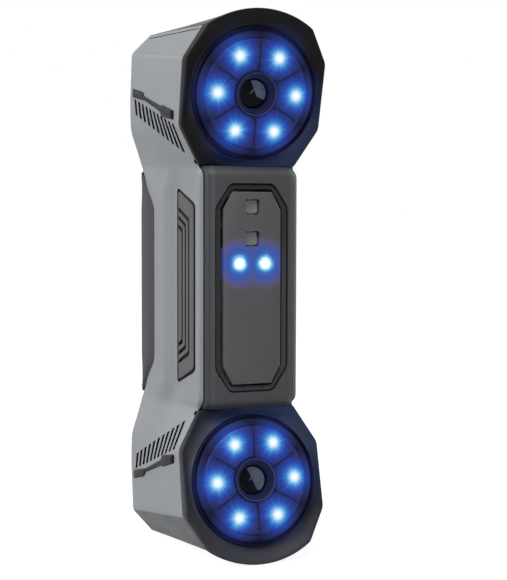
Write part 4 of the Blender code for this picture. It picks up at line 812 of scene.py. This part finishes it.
COVER_PLASTIC = moulded("front_cover_plastic", (0.053, 0.056, 0.061), 0.5, 0.40, 0.010, 0.06, zone=shaded_cover_edges,
                        Specular_IOR_Level=0.4)
set_piece(cover, COVER_PLASTIC, "dark_shell", "front_centre_cover", sharp=32)


# Window bezel
# A satin black frame set in the cover, moulded in one and dished towards the smoked panel that it holds, with
# rounded edges inside and out.

def lit_bezel_far_side(look):
    """Painted light on the frame's right and lower limbs, which are nearly twice as light as the rest."""
    across, back, up = look.place.split()
    return (across * 1000 - (up * 1000 - HALF_HEIGHT) * 0.45).fade(2.0, 18.0), 1.9


def stepped_plate(levels, steps=3, hollow=False):
    """Joins flat outlines seen from the front. Each level is an outline, its corners' radius and its place y."""
    return loft([[(x, y, z) for x, z in rounded(outline, corner, steps)] for outline, corner, y in levels], hollow)


BEZEL_PLASTIC = moulded("bezel_plastic", (0.044, 0.044, 0.047), 0.62, 0.40, 0.008, 0.06, zone=lit_bezel_far_side,
                        Specular_IOR_Level=0.2)
levels = [(grown(BEZEL_OUTLINE, growth), corner, y) for growth, corner, y in (
    (1.2, 2.8, 4.3), (1.2, 2.8, 3.5), (-0.3, 2.4, 3.3), (-0.3, 2.4, 2.15), (-0.55, 2.4, 1.85), (-1.0, 2.2, 1.75))]
levels += [(grown(PANEL_OUTLINE, growth), corner, y) for growth, corner, y in (
    (1.6, 0.9, 1.95), (1.25, 0.8, 2.1), (1.1, 0.7, 2.5), (1.1, 0.7, 4.3))]
set_piece(new_object("window_bezel_frame", stepped_plate(levels, 5, True)), BEZEL_PLASTIC, "hood_black",
          "window_bezel")


# Smoked window panel
# A flat filter of smoked acrylic with two recessed square openings for the line projectors and two round ones for the
# marker lamps. The lamps' blue light over it is painted: a glow in its emission and a deep blue in its colour round
# them.

PANE_HEIGHTS = (44.2, 26.9)
LAMP_Z = 13.4
LAMP_X = 7.5
LAMP_RADIUS = 3.6
levels = [(grown(PANEL_OUTLINE, -shrink), 0.6, y) for shrink, y in ((0.1, 3.0), (0.1, 0.7), (0.2, 0.5), (0.45, 0.4))]
panel = new_object("smoked_window", stepped_plate(levels, 4))
for height in PANE_HEIGHTS:
    cut_away(panel, slab(rounded(oblong(4.0, height - 4.1, height + 4.1, 0.1), 1.0), -2, 5, "y"))
for side in (-1, 1):
    cut_away(panel, slab(round_outline(LAMP_RADIUS + 0.05, side * LAMP_X, LAMP_Z), -2, 5, "y"))


def distance_to(look, spot):
    """Distance in millimetres from a spot that is given from the window's middle."""
    centre = [part / 1000 + start for part, start in zip(spot, WINDOW_PLACE)]
    return look.node("ShaderNodeVectorMath", {0: look.place, 1: centre}, 1, operation="DISTANCE") * 1000


def blue_glow(look, distance, *stops):
    """The colour of lamp light at a distance: each stop is a distance in millimetres and its colour."""
    far = stops[-1][0]
    glow = look.node("ShaderNodeValToRGB", {0: distance / far})
    elements = glow.socket.node.color_ramp.elements
    while len(elements) < len(stops):
        elements.new(1.0)
    for element, (reach, colour) in zip(elements, stops):
        element.position = reach / far
        element.color = (*colour, 1.0)
    return glow


look = Look("smoked_panel_acrylic", Specular_IOR_Level=0.4, Emission_Strength=1.0)
smear = look.noise(14, 3.0, 0.6)
speck = look.noise(0.6, 1.0)
near = distance_to(look, (-LAMP_X, 0.7, LAMP_Z)).least(distance_to(look, (LAMP_X, 0.7, LAMP_Z)))
uneven = near + look.noise(5, 2.0) * 2.4 - 1.2
smoke = look.blend(smear, (0.094, 0.092, 0.098), (0.107, 0.104, 0.111))
# Painted light: the lamps' glow in the emission and a deep blue round them in the colour.
look.feed(Base_Color=look.blend(uneven.fade(6.5, 13.5), (0.004, 0.008, 0.03), smoke),
          Roughness=smear.fade(0.3, 0.7, 0.26, 0.36), Normal=look.bump(speck, 0.003),
          Emission_Color=blue_glow(look, uneven, (0.0, (0.55, 0.85, 1.0)), (4.0, (0.12, 0.42, 0.80)),
                                   (5.2, (0.018, 0.13, 0.42)), (7.2, (0.012, 0.062, 0.34)),
                                   (9.2, (0.018, 0.042, 0.27)), (11.5, (0.016, 0.020, 0.13)),
                                   (14.5, (0.0, 0.0, 0.0))))
set_piece(panel, look.material, "panel_filter", "laser_window_panel")


# Projector windows
# Two small squares of tinted glass with ground edges, over the line projectors. They are glued into the panel's
# openings, a millimetre and a half below its face.

look = Look("pane_glass_tinted", Roughness=0.10, Specular_IOR_Level=0.5)
look.feed(Base_Color=look.blend(look.noise(5, 1.0), (0.27, 0.27, 0.28), (0.31, 0.31, 0.32)))
for (head_name, sign), height in zip(HEADS, PANE_HEIGHTS):
    levels = [(oblong(half, height - half, height + half), 1.0, y)
              for half, y in ((3.6, 3.0), (3.6, 2.35), (3.45, 2.2))]
    set_piece(new_object(head_name + "_window_pane", stepped_plate(levels)), look.material, "pane_glass",
              head_name + "_projector_window")


# Marker lamps
# Two lit blue lamps in clear resin with low domes, level with the panel. They are pushed through it from behind and
# stand on a flat foot.

def turned(profile, steps, place):
    """Turns a closed section of (radius, height) points about z and places it. A radius of nought makes a pole."""
    bm = bmesh.new()
    loops = []
    for radius, height in profile:
        if radius == 0:
            loops.append([bm.verts.new((0, 0, height))] * steps)
        else:
            loops.append([bm.verts.new((x, y, height)) for x, y in round_outline(radius, steps=steps)])
    for a, b in zip(loops, loops[1:] + loops[:1]):
        for i in range(steps):
            j = (i + 1) % steps
            ring = list(dict.fromkeys((a[i], a[j], b[j], b[i])))
            if len(ring) > 2:
                bm.faces.new(ring)
    bmesh.ops.recalc_face_normals(bm, faces=bm.faces)
    bm.transform(place)
    return bm


def along_y(*place):
    """Turns an axis that runs up z so that it runs back along y from a place."""
    return Matrix.Translation(place) @ Matrix.Rotation(-math.pi / 2, 4, "X")


dome = [(LAMP_RADIUS * math.sin(a), -0.5 * math.cos(a)) for a in [math.pi / 2 * i / 8 for i in range(9)]]
for side_name, side in SIDES:
    look = Look(side_name + "_lamp_lit", Roughness=0.2, Specular_IOR_Level=0.3, Emission_Strength=1.0)
    near = distance_to(look, (side * LAMP_X, 0.3, LAMP_Z))
    spark = look.noise(2.0, 2.0)
    look.feed(Base_Color=look.blend(spark, (0.02, 0.05, 0.10), (0.03, 0.08, 0.14)),
              Emission_Color=blue_glow(look, near + spark * 1.6 - 0.8, (0.0, (1.0, 1.0, 1.0)),
                                       (2.5, (0.88, 0.97, 1.0)), (3.2, (0.50, 0.82, 0.98)),
                                       (3.8, (0.14, 0.42, 0.75)), (4.5, (0.04, 0.17, 0.5))))
    lamp = turned(dome + [(LAMP_RADIUS, 2.4), (0, 2.4)], 32, along_y(side * LAMP_X, 0.6, LAMP_Z))
    set_piece(new_object(side_name + "_lamp_dome", lamp), look.material, "lamp_blue", side_name + "_marker_lamp")


# Lens hoods
# Satin black hoods, one thin moulding each: an arched brow, an eight-sided rim with a bevel, a dished face and a
# round bore that holds the light ring.

RIM_LEAN = math.radians(14)
BORE_RADIUS = 36.3
LAMP_CIRCLE = 22.7


def rim_y(z):
    """The plane of the rim, which leans forward towards the crown and juts out a little more under it."""
    reach = abs(z) - LENS_Z
    return -1.8 - math.tan(RIM_LEAN) * reach - 1.6 * min(1, max(0, (reach - 17.7) / 17.4))


def hood_outline(inset):
    """The outline across a head, from the middle of the neck round by the middle of the crown."""
    half_crown = CROWN_HALF - inset * 0.8
    line = soften([(0, NECK_Z + inset), (28.0 - inset / 2, NECK_Z + inset), (HEAD_HALF - inset, 87.0 + inset * 0.25),
                   (HEAD_HALF - inset, SHOULDER_Z - inset * 0.2), (half_crown, crown_z(half_crown, inset)),
                   (half_crown - 4, crown_z(half_crown - 4, inset))], [0, 1.2, 2.2, 1.8, 1.4, 0], 4)
    points = []
    for a, b in zip(line, line[1:]):
        count = max(1, round(math.dist(a, b) / 2.2)) if math.dist(a, b) > 3 else 1
        points += [(mix(a[0], b[0], k / count), mix(a[1], b[1], k / count)) for k in range(count)]
    points += [(x, crown_z(x, inset)) for x in [line[-1][0] * (1 - k / 12) for k in range(13)]]
    return points + [(-x, z) for x, z in reversed(points[1:-1])]


def matched(inset):
    """An inset outline with as many points as the full one. Where its own count differs, the full one is shrunk."""
    outline = hood_outline(inset)
    full = hood_outline(0)
    if len(outline) == len(full):
        return outline
    share = 1 - inset / HEAD_HALF
    return [(x * share, LENS_Z + (z - LENS_Z) * share) for x, z in full]


def lens_place(sign):
    """From a head's own axes, z out along the lens axis, to the window's axes."""
    return Matrix.Translation((0, LENS_Y, sign * LENS_Z)) @ Matrix.Rotation(math.pi / 2 + sign * TOE_IN, 4, "X")


def hood_bore(radius, height, sign):
    ring = []
    for x, z in hood_outline(0):
        angle = math.atan2((z - LENS_Z) * math.cos(TOE_IN), x)
        local = Vector((radius * math.cos(angle), sign * radius * math.sin(angle), height))
        ring.append(tuple(lens_place(sign) @ local))
    return ring


def ring_place(look, sign):
    """The place on a head in millimetres on the lens's own axes: across and up."""
    place = look.node("ShaderNodeMapping", {
        "Vector": look.place, "Location": (0, LENS_Y / 1000 + WINDOW_PLACE[1], sign * LENS_Z / 1000 + WINDOW_PLACE[2]),
        "Rotation": (math.pi / 2 + sign * TOE_IN, 0, 0), "Scale": (0.001, 0.001, 0.001)}, vector_type="TEXTURE")
    return place.split()[:2]


def length(across, up):
    return (across * across + up * up) ** 0.5


def lamp_fold(look, sign):
    """Folds a head into one sixth of a turn, with the nearest of its six lamps: the distance to the lamp and the
    radius from the lens's axis in millimetres, then the ways out and beside the lamp, the turn and its fold."""
    across, up = ring_place(look, sign)
    radius = length(across, up)
    turn = up.math("ARCTAN2", up, across)
    fold = (turn + math.pi / 6) % (math.pi / 3) - math.pi / 6
    off = radius * fold.math("COSINE", fold) - LAMP_CIRCLE
    beside = radius * fold.math("SINE", fold)
    return length(off, beside), radius, (off, beside, turn, fold)


# One plastic in two tones: the upper hood, which faces down, is darker as painted shade, and the lower one, which
# faces up, lighter as painted light.
HOOD_LIT_AND_SHADED = {"upper": ((0.011, 0.011, 0.0118), (0.007, 0.007, 0.0085)),
               "lower": ((0.045, 0.046, 0.055), (0.016, 0.018, 0.026))}
for head_name, sign in HEADS:
    def level(inset, plane, forward=0.0):
        return [(x, plane(z) - forward, sign * z) for x, z in matched(inset)]

    bore = hood_bore(BORE_RADIUS, -0.8, sign)
    brow = level(2.0, rim_y, -0.6)
    dish = []
    for share, sunk in ((0.3, 0.9), (0.65, 1.2)):
        dish.append([tuple(mix(a[i], b[i], share) + (sunk if i == 1 else 0) for i in range(3))
                     for a, b in zip(brow, bore)])
    rings = [level(0, joint_y), level(0, joint_y, 0.5), level(0, rim_y, -0.8), level(0.15, rim_y, -0.3),
             level(0.5, rim_y, 0.0), level(1.2, rim_y, -0.05), brow, *dish, bore,
             hood_bore(BORE_RADIUS - 0.1, -1.6, sign), hood_bore(BORE_RADIUS - 0.2, -5.0, sign), level(2.0, joint_y)]
    look = Look(head_name + "_hood_plastic", Specular_IOR_Level=0.1, Emission_Strength=1.0)
    fine = look.noise(0.4, 2.0, 0.6)
    cloud = look.noise(30, 3.0)
    across, up = ring_place(look, sign)
    # Painted shade: the colour is darker towards the neck and the right. Painted light: the emission adds the lamps'
    # blue glow and a stray blue light towards the neck.
    to_neck = across * 0.6 - up * (sign * 0.8)
    tone = cloud * 0.4 - 0.2 + to_neck.fade(-30, 30)
    glow = lamp_fold(look, sign)[0].fade(12.0, 21.0, 1.0, 0.0) * to_neck.fade(-35, 0, 0.35, 1.0)
    stray = look.blend(to_neck.fade(14, 38), (0, 0, 0), (0.012, 0.020, 0.052))
    look.feed(Base_Color=look.blend(tone, *HOOD_LIT_AND_SHADED[head_name]),
              Roughness=cloud.fade(0.3, 0.7, 0.38, 0.48), Normal=look.bump(fine, 0.010),
              Emission_Color=look.blend(glow, stray, (0.006, 0.011, 0.050)))
    set_piece(new_object(head_name + "_hood_moulding", loft(rings, True)), look.material, "hood_black",
              head_name + "_lens_hood", sharp=38)
    for side_name, side in SIDES:
        catch = slab(catch_outline(1.3, sign), side * 24.5, side * 27.6, "x")
        set_piece(new_object(f"{head_name}_{side_name}_hood_catch", catch), look.material, "hood_black")


# Light ring bezels
# Turned and satin-blacked rings, screwed into the hoods' bores, that hold the diffusers: a bead at the outer edge, a
# cone inward and a fine step.

RING_PROFILE = ((35.6, -4.2), (35.8, -0.6), (35.8, 0.2), (35.6, 0.45), (35.3, 0.4), (35.1, 0.1), (34.9, -1.6),
                (33.9, -1.8), (33.5, -0.2), (33.2, 0.6), (32.7, 1.0), (31.6, 1.4), (30.8, 1.5), (30.4, 1.4),
                (30.3, 1.0), (29.9, 1.0), (29.8, 0.8), (29.8, -1.9), (31.3, -4.2))


def set_on_axis(name, profile, steps, sign, look, slot, stands_for):
    """Sets a turned piece on its head's lens axis."""
    set_piece(new_object(name, turned(profile, steps, lens_place(sign))), look.material, slot, stands_for, sharp=35)


LAMP_GLOW = ((0.0, (1.0, 1.0, 1.0)), (1.4, (0.93, 0.95, 1.0)), (2.4, (0.55, 0.80, 0.96)), (3.7, (0.16, 0.45, 0.78)),
             (5.4, (0.028, 0.17, 0.54)), (7.6, (0.012, 0.055, 0.35)), (9.6, (0.013, 0.030, 0.20)),
             (12.0, (0.012, 0.018, 0.095)), (16.0, (0.003, 0.004, 0.025)))
for head_name, sign in HEADS:
    look = Look(head_name + "_ring_plastic", Specular_IOR_Level=0.06, Emission_Strength=1.0)
    near, radius = lamp_fold(look, sign)[:2]
    fine = look.noise(0.4, 2.0, 0.6)
    valley = radius.fade(33.2, 33.9)
    # The lamps' blue glow on the ring is painted light in its emission, dimmed towards its outer bead.
    look.feed(Base_Color=look.blend(fine, (0.006, 0.007, 0.012), (0.009, 0.010, 0.018)),
              Roughness=fine.fade(0.3, 0.7, 0.36, 0.44), Normal=look.bump(fine, 0.006),
              Emission_Color=look.blend(valley * 0.6, blue_glow(look, near, *LAMP_GLOW), (0.0, 0.0, 0.0)))
    set_on_axis(head_name + "_light_ring_bezel", RING_PROFILE, 96, sign, look, "hood_black",
                head_name + "_ring_bezel")


# Light diffusers
# Rings of dark blue lens plastic in six cells, one over each lamp, clipped into the bezels. Each cell is domed and
# has a lit core, from which fine prism marks send out rays.

DIFFUSER_PROFILE = ((29.6, 0.3), (29.6, 1.0), (29.3, 1.4), (28.0, 2.1), (25.5, 2.7), (22.0, 2.95), (18.0, 2.8),
                    (15.0, 2.3), (13.2, 1.6), (12.9, 0.9), (12.1, 0.5), (12.1, 0.3))
for head_name, sign in HEADS:
    look = Look(head_name + "_diffuser_lens", Specular_IOR_Level=0.12, Emission_Strength=1.0)
    near, radius, (off, beside, turn, fold) = lamp_fold(look, sign)
    towards = joined(look.tree, off / near, beside / near, turn - fold)
    rays = look.node("ShaderNodeTexNoise", {"Vector": towards, "Scale": 5.0, "Detail": 2.0})
    prism = look.noise(1.1, 2.0)
    look.feed(Base_Color=look.blend(prism, (0.006, 0.008, 0.040), (0.010, 0.012, 0.060)),
              Roughness=prism.fade(0.3, 0.7, 0.25, 0.4), Normal=look.bump(prism, 0.02),
              Emission_Color=blue_glow(look, near * rays.fade(0.25, 0.75, 0.91, 1.10), *LAMP_GLOW))
    set_on_axis(head_name + "_diffuser_ring", DIFFUSER_PROFILE, 96, sign, look, "diffuser_blue",
                head_name + "_light_diffuser")


# Cell dividers
# Six thin ribs of dark blue plastic, nearly black, glued over each diffuser halfway between its lamps. They part
# the light of the cells.

def divider_tree():
    """Geometry nodes: thin ribs set round an axis at even turns, from an inner to an outer radius."""
    tree, (count, inner, outer, width, height, level, first_turn, material) = open_group(
        "cell_dividers", Count=6, Inner_Radius=12.6, Outer_Radius=27.0, Width=0.7, Height=1.6, Level=2.25,
        First_Turn=math.pi / 6)
    rib = add_node(tree, "GeometryNodeMeshCube", {"Size": joined(tree, outer - inner, width, height)})
    middle = joined(tree, (outer + inner) / 2, 0.0, level)
    rib = add_node(tree, "GeometryNodeTransform", {"Geometry": rib, "Translation": middle})
    places = add_node(tree, "GeometryNodeMeshLine", {"Count": count, "Offset": (0.0, 0.0, 0.0)})
    angle = add_node(tree, "GeometryNodeInputIndex") * (2 * math.pi) / count + first_turn
    ribs = add_node(tree, "GeometryNodeInstanceOnPoints",
                    {"Points": places, "Instance": rib, "Rotation": joined(tree, 0.0, 0.0, angle)})
    return close_group(tree, ribs, material)


ribs_tree = divider_tree()
# The ribs' faint blue emission is painted light from the cells beside them.
look = Look("divider_plastic_painted_glow", Specular_IOR_Level=0.1, Emission_Strength=1.0)
fine = look.noise(0.5, 1.0)
look.feed(Base_Color=look.blend(fine, (0.004, 0.005, 0.030), (0.006, 0.008, 0.042)),
          Roughness=fine.fade(0.3, 0.7, 0.4, 0.55),
          Emission_Color=look.blend(fine, (0.004, 0.006, 0.045), (0.006, 0.009, 0.060)))
for head_name, sign in HEADS:
    ribs = grown_from(ribs_tree, head_name + "_cell_dividers", look.material)
    ribs.data.transform(lens_place(sign))
    set_piece(ribs, look.material, "hood_black", sharp=0)


# Lens barrels
# Black anodised tubes with turned rings in their mouths, screwed onto the cameras, and coated front lenses deep
# inside. A blue highlight and glow in each mouth, and a reflection patch and its streak on each lens, are painted
# light.

BARREL_PROFILE = ((11.8, -20.3), (11.8, 1.9), (11.65, 2.15), (11.3, 2.2), (11.0, 2.05), (10.6, 1.2), (10.2, 1.1),
                  (9.9, 0.3), (9.5, 0.2), (9.2, -0.6), (8.8, -0.7), (8.5, -1.5), (8.2, -1.6), (8.2, -4.6),
                  (5.6, -4.6), (5.6, -20.3))
LENS_PROFILE = [(8.0 * math.sin(a), -3.2 + 1.2 * math.cos(a)) for a in [math.pi / 2 * i / 10 for i in range(11)]]
LENS_PROFILE += [(8.0, -4.4), (0, -4.4)]
for (head_name, sign), patch_left, patch_foot in zip(HEADS, (0.96, -0.3), (-0.9, -4.6)):
    look = Look(head_name + "_barrel_anodised", Specular_IOR_Level=0.1, Emission_Strength=1.0)
    fine = look.noise(0.25, 2.0)
    radius = length(*ring_place(look, sign))
    # Painted blue highlight on the rim of the tube's mouth, and painted blue glow inside it in the emission.
    rim = radius.fade(10.9, 11.15) * radius.fade(11.45, 11.7, 1.0, 0.0)
    black = look.blend(fine, (0.003, 0.004, 0.010), (0.005, 0.006, 0.016))
    look.feed(Base_Color=look.blend(rim, black, (0.060, 0.066, 0.100)),
              Roughness=fine.fade(0.3, 0.7, 0.34, 0.46),
              Emission_Color=look.blend(radius.fade(7.0, 9.5), (0, 0, 0), (0.006, 0.008, 0.038)))
    set_on_axis(head_name + "_barrel_tube", BARREL_PROFILE, 64, sign, look, "barrel_black",
                head_name + "_lens_barrel")
    look = Look(head_name + "_coated_lens_glass", Roughness=0.06, Specular_IOR_Level=0.06, Emission_Strength=1.0)
    across, up = ring_place(look, sign)
    swirl = look.noise(4, 1.0)
    # Painted reflection on the lens: a pale patch and a streak, in its colour and emission.
    edge = length(across, up) + swirl * 0.4
    sheen = edge.fade(7.0, 7.5, 1.0, 0.0) * (across + up * 0.426 - patch_left).fade(-0.3, 0.3)
    sheen = sheen * (up + across * 0.37 - patch_foot).fade(-0.3, 0.3) * swirl.fade(0.2, 0.8, 0.7, 1.0)
    streak = abs(across - up * 0.9 + 2.0).fade(0.3, 0.7, 1.0, 0.0) * abs(up - 1.6).fade(1.4, 2.0, 1.0, 0.0)
    look.feed(Base_Color=look.blend(sheen, (0.002, 0.003, 0.006), (0.030, 0.036, 0.055)),
              Emission_Color=look.blend(sheen.most(streak), (0.0, 0.0, 0.002), (0.060, 0.068, 0.110)))
    set_on_axis(head_name + "_lens_element", LENS_PROFILE, 64, sign, look, "lens_glass", head_name + "_front_lens")


# Camera bodies, projectors, frame, boards, heat sink and fans
# The works behind the shells keep their machined or moulded CAD shapes and take the finish of their materials.

def machined(name, colour, roughness, grain):
    look = Look(name, Metallic=1.0)
    fine = look.noise(grain, 3.0)
    look.feed(Base_Color=look.blend(fine, shade(colour, 0.9), shade(colour, 1.1)),
              Roughness=fine.fade(0.3, 0.7, roughness - 0.08, roughness + 0.08), Normal=look.bump(fine, 0.01))
    return look.material


look = Look("board_resist", Specular_IOR_Level=0.5)
weave = look.noise(1.2, 2.0)
look.feed(Base_Color=look.blend(weave.fade(0.4, 0.6), (0.015, 0.09, 0.04), (0.03, 0.16, 0.07)),
          Roughness=weave.fade(0.3, 0.7, 0.4, 0.6))
works = {
    machined("frame_milled_metal", (0.45, 0.45, 0.46), 0.42, 1.5): ("optical_frame",),
    machined("sink_extruded_metal", (0.55, 0.56, 0.58), 0.36, 1.0): ("processor_heat_sink",),
    machined("camera_case_metal", (0.10, 0.10, 0.11), 0.42, 0.8): (
        "upper_camera_body", "lower_camera_body", "upper_line_projector", "lower_line_projector"),
    look.material: ("main_board", "key_board", "upper_led_board", "lower_led_board"),
    moulded("fan_plastic", (0.02, 0.02, 0.021), 0.5): (
        "upper_fan_frame", "lower_fan_frame", "upper_fan_rotor", "lower_fan_rotor"),
}
for finish, names in works.items():
    for name in names:
        nodes[name].data.materials.clear()
        nodes[name].data.materials.append(finish)


# Keys
# Four rubber keys with dished tops and a flange round the foot, one on each slide, over their dome switches. The
# scan key is the large one.

KEY_RUBBER = rubber("key_rubber_skin", (0.05, 0.05, 0.053), 0.58, 0.4, 0.02)
FLANGE = 1.2
for name, z, radius in KEY_PLACES:
    low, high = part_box(name)
    foot = low.y * 1000 - WINDOW_PLACE[1] * 1000
    top = high.y * 1000 - WINDOW_PLACE[1] * 1000 - foot
    cap = turned(((0, 0), (radius + 0.9, 0), (radius + 0.9, FLANGE), (radius, FLANGE), (radius, top - 0.7),
                  (radius - 0.2, top - 0.3), (radius - 0.6, top - 0.05), (radius - 1.0, top),
                  (radius - 1.5, top - 0.15), (0, top - 0.4)), 40, along_y(0, foot, z))
    set_piece(new_object(name + "_cap", cap), KEY_RUBBER, "key_rubber", name, body=name.replace("_key", "_button"))


# Status light and cable socket
# A milky light bar over the keys, and a plated socket cup, screwed through the lower head's back, with a moulded
# insert that holds its contacts.

look = Look("light_bar_milky", Roughness=0.35)
look.feed(Base_Color=look.blend(look.noise(3, 2.0), (0.66, 0.70, 0.74), (0.78, 0.82, 0.86)))
levels = [(oblong(half, LIGHT_Z - rise, LIGHT_Z + rise), 0.6, y)
          for half, rise, y in ((8.0, 1.2, 89.2), (8.0, 1.2, 90.8), (7.8, 1.0, 91.0))]
set_piece(new_object("status_light", stepped_plate(levels)), look.material, "light_bar", "status_light_bar")
SOCKET_METAL = machined("socket_plated_metal", (0.5, 0.5, 0.5), 0.28, 0.5)
cup = turned(((0, 0), (8.0, 0), (8.0, 11.1), (9.8, 11.1), (9.8, 12.9), (8.0, 12.9), (8.0, 14.4), (7.7, 14.7),
              (6.9, 14.7), (6.5, 14.3), (6.5, 2.0), (0, 2.0)), 48, along_y(0, 76.2, SOCKET_Z))
set_piece(new_object("cable_socket_cup", cup), SOCKET_METAL, "socket_metal", "cable_socket_shell")
insert = turned(((0, 0), (6.2, 0), (6.2, 3.6), (5.9, 4.0), (0, 4.0)), 40, along_y(0, 78.5, SOCKET_Z))
set_piece(new_object("socket_contact_insert", insert), moulded("insert_plastic", (0.03, 0.03, 0.03), 0.45),
          "insert_plastic", "socket_insert")


# Screws and contacts
# Black socket-head screws hold the spine cover to the shells, four at each head, and the socket's insert has a ring
# of five gilt contact tubes. Both are small turned parts with a six-sided hollow, pressed or driven in.

def stud_ring_tree():
    """Geometry nodes: round studs with a six-sided hollow in their ends, set round a circle, ends towards z."""
    tree, (count, circle, first_turn, radius, stud_length, hollow_radius, material) = open_group(
        "stud_ring", Count=4, Circle_Radius=22.1, First_Turn=0.0, Stud_Radius=2.7, Stud_Length=2.2, Hollow_Radius=1.5)
    stud = add_node(tree, "GeometryNodeMeshCylinder", {"Vertices": 24, "Radius": radius, "Depth": stud_length})
    hollow = add_node(tree, "GeometryNodeMeshCylinder", {"Vertices": 6, "Radius": hollow_radius,
                                                         "Depth": stud_length})
    lift = joined(tree, 0.0, 0.0, stud_length * 0.4)
    hollow = add_node(tree, "GeometryNodeTransform", {"Geometry": hollow, "Translation": lift})
    stud = add_node(tree, "GeometryNodeMeshBoolean", {0: stud, 1: hollow}, operation="DIFFERENCE")
    angle = add_node(tree, "GeometryNodeInputIndex") * (2 * math.pi) / count + first_turn
    spot = joined(tree, angle.math("COSINE", angle) * circle, angle.math("SINE", angle) * circle)
    line = add_node(tree, "GeometryNodeMeshLine", {"Count": count, "Offset": (0.0, 0.0, 0.0)})
    line = add_node(tree, "GeometryNodeSetPosition", {"Geometry": line, "Position": spot})
    studs = add_node(tree, "GeometryNodeInstanceOnPoints", {"Points": line, "Instance": stud})
    return close_group(tree, studs, material)


stud_tree = stud_ring_tree()
SCREW_BLACK = machined("screw_blackened_metal", (0.05, 0.05, 0.052), 0.42, 0.4)
CONTACT_GILT = machined("contact_gilt_metal", (0.75, 0.55, 0.25), 0.3, 0.3)
for head_name, sign in HEADS:
    screws = grown_from(stud_tree, head_name + "_cover_screws", SCREW_BLACK, First_Turn=math.pi / 4)
    screws.data.transform(along_y(0, BACK - 1.5, sign * SCREW_Z))
    set_piece(screws, SCREW_BLACK, "dark_shell", sharp=35)
contacts = grown_from(stud_tree, "socket_contacts", CONTACT_GILT, Count=5, Circle_Radius=3.6, Stud_Radius=0.7,
                      Stud_Length=3.0, Hollow_Radius=0.4)
contacts.data.transform(along_y(0, 82.7, SOCKET_Z))
set_piece(contacts, CONTACT_GILT, "socket_metal", sharp=35)


# Floor, light and camera
# A pale floor that shows the camera white and keeps the shadow, soft studio light, and the photograph's viewpoint.

def seen_white(tree):
    """One where the camera, a reflection or a view through glass sees the surface, and nought for other light."""
    path = tree.nodes.new("ShaderNodeLightPath")
    seen = [Wire(tree, path.outputs[name]) for name in ("Is Camera Ray", "Is Glossy Ray", "Is Transmission Ray")]
    return seen[0].most(seen[1]).most(seen[2])


floor_look = bpy.data.materials.new("pale_floor")
floor_look.use_nodes = True
tree = floor_look.node_tree
tree.nodes.clear()
plain = add_node(tree, "ShaderNodeBsdfDiffuse", {"Color": (0.32, 0.32, 0.32, 1)})
spot = add_node(tree, "ShaderNodeTexCoord", output="Object")
away = add_node(tree, "ShaderNodeVectorMath", {0: spot}, 1, operation="LENGTH")
glow = add_node(tree, "ShaderNodeEmission",
                {"Color": (1, 1, 1, 1), "Strength": seen_white(tree) * away.fade(0.25, 1.5, 0.91, 0.96)})
both = add_node(tree, "ShaderNodeAddShader", {0: plain, 1: glow})
surface = tree.nodes.new("ShaderNodeOutputMaterial")
tree.links.new(both.socket, surface.inputs["Surface"])
bm = bmesh.new()
bm.faces.new([bm.verts.new((x, y, -0.0003)) for x, y in ((-6, -6), (6, -6), (6, 6), (-6, 6))])
floor = new_object("studio_floor", bm)
floor.data.materials.append(floor_look)

world = bpy.data.worlds.new("studio_world")
bpy.context.scene.world = world
world.use_nodes = True
tree = world.node_tree
tree.nodes.clear()
fill = add_node(tree, "ShaderNodeBackground", {"Color": (0.95, 0.97, 1.0, 1), "Strength": 0.22})
white = add_node(tree, "ShaderNodeBackground", {"Color": (1, 1, 1, 1), "Strength": 1.0})
mixed = add_node(tree, "ShaderNodeMixShader", {0: seen_white(tree), 1: fill, 2: white})
sky = tree.nodes.new("ShaderNodeOutputWorld")
tree.links.new(mixed.socket, sky.inputs["Surface"])


def soft_lamp(name, place, size, power):
    """A square lamp that is turned to the middle of the scanner."""
    data = bpy.data.lights.new(name, "AREA")
    data.shape = "SQUARE"
    data.size = size
    data.energy = power
    lamp = bpy.data.objects.new(name, data)
    bpy.context.scene.collection.objects.link(lamp)
    lamp.location = place
    lamp.rotation_euler = (Vector((0, 0, 0.15)) - Vector(place)).to_track_quat("-Z", "Y").to_euler()


soft_lamp("left_softbox", (-1.4, -0.3, 0.9), 0.7, 16.6)
soft_lamp("top_softbox", (-0.3, -0.6, 1.7), 0.8, 16.0)
soft_lamp("right_softbox", (1.2, 0.5, 0.6), 0.7, 3.0)

YAW = math.radians(22.855)
PITCH = math.radians(3.186)
ROLL = math.radians(0.13)
FOCAL_PIXELS = 1281.4
PHOTO_HEIGHT = 580
SENSOR = 36.0
CAMERA_PLACE = (-0.2702, -0.68136, 0.1868)
camera_data = bpy.data.cameras.new("photo_camera")
camera_data.sensor_fit = "VERTICAL"
camera_data.sensor_height = SENSOR
camera_data.lens = FOCAL_PIXELS * SENSOR / PHOTO_HEIGHT
camera_data.clip_start = 0.01
camera = bpy.data.objects.new("photo_camera", camera_data)
bpy.context.scene.collection.objects.link(camera)
turn = Matrix.Rotation(-YAW, 4, "Z") @ Matrix.Rotation(math.pi / 2 - PITCH, 4, "X") @ Matrix.Rotation(ROLL, 4, "Z")
camera.matrix_world = Matrix.Translation(CAMERA_PLACE) @ turn
bpy.context.scene.camera = camera

bpy.context.scene.view_settings.view_transform = "Standard"
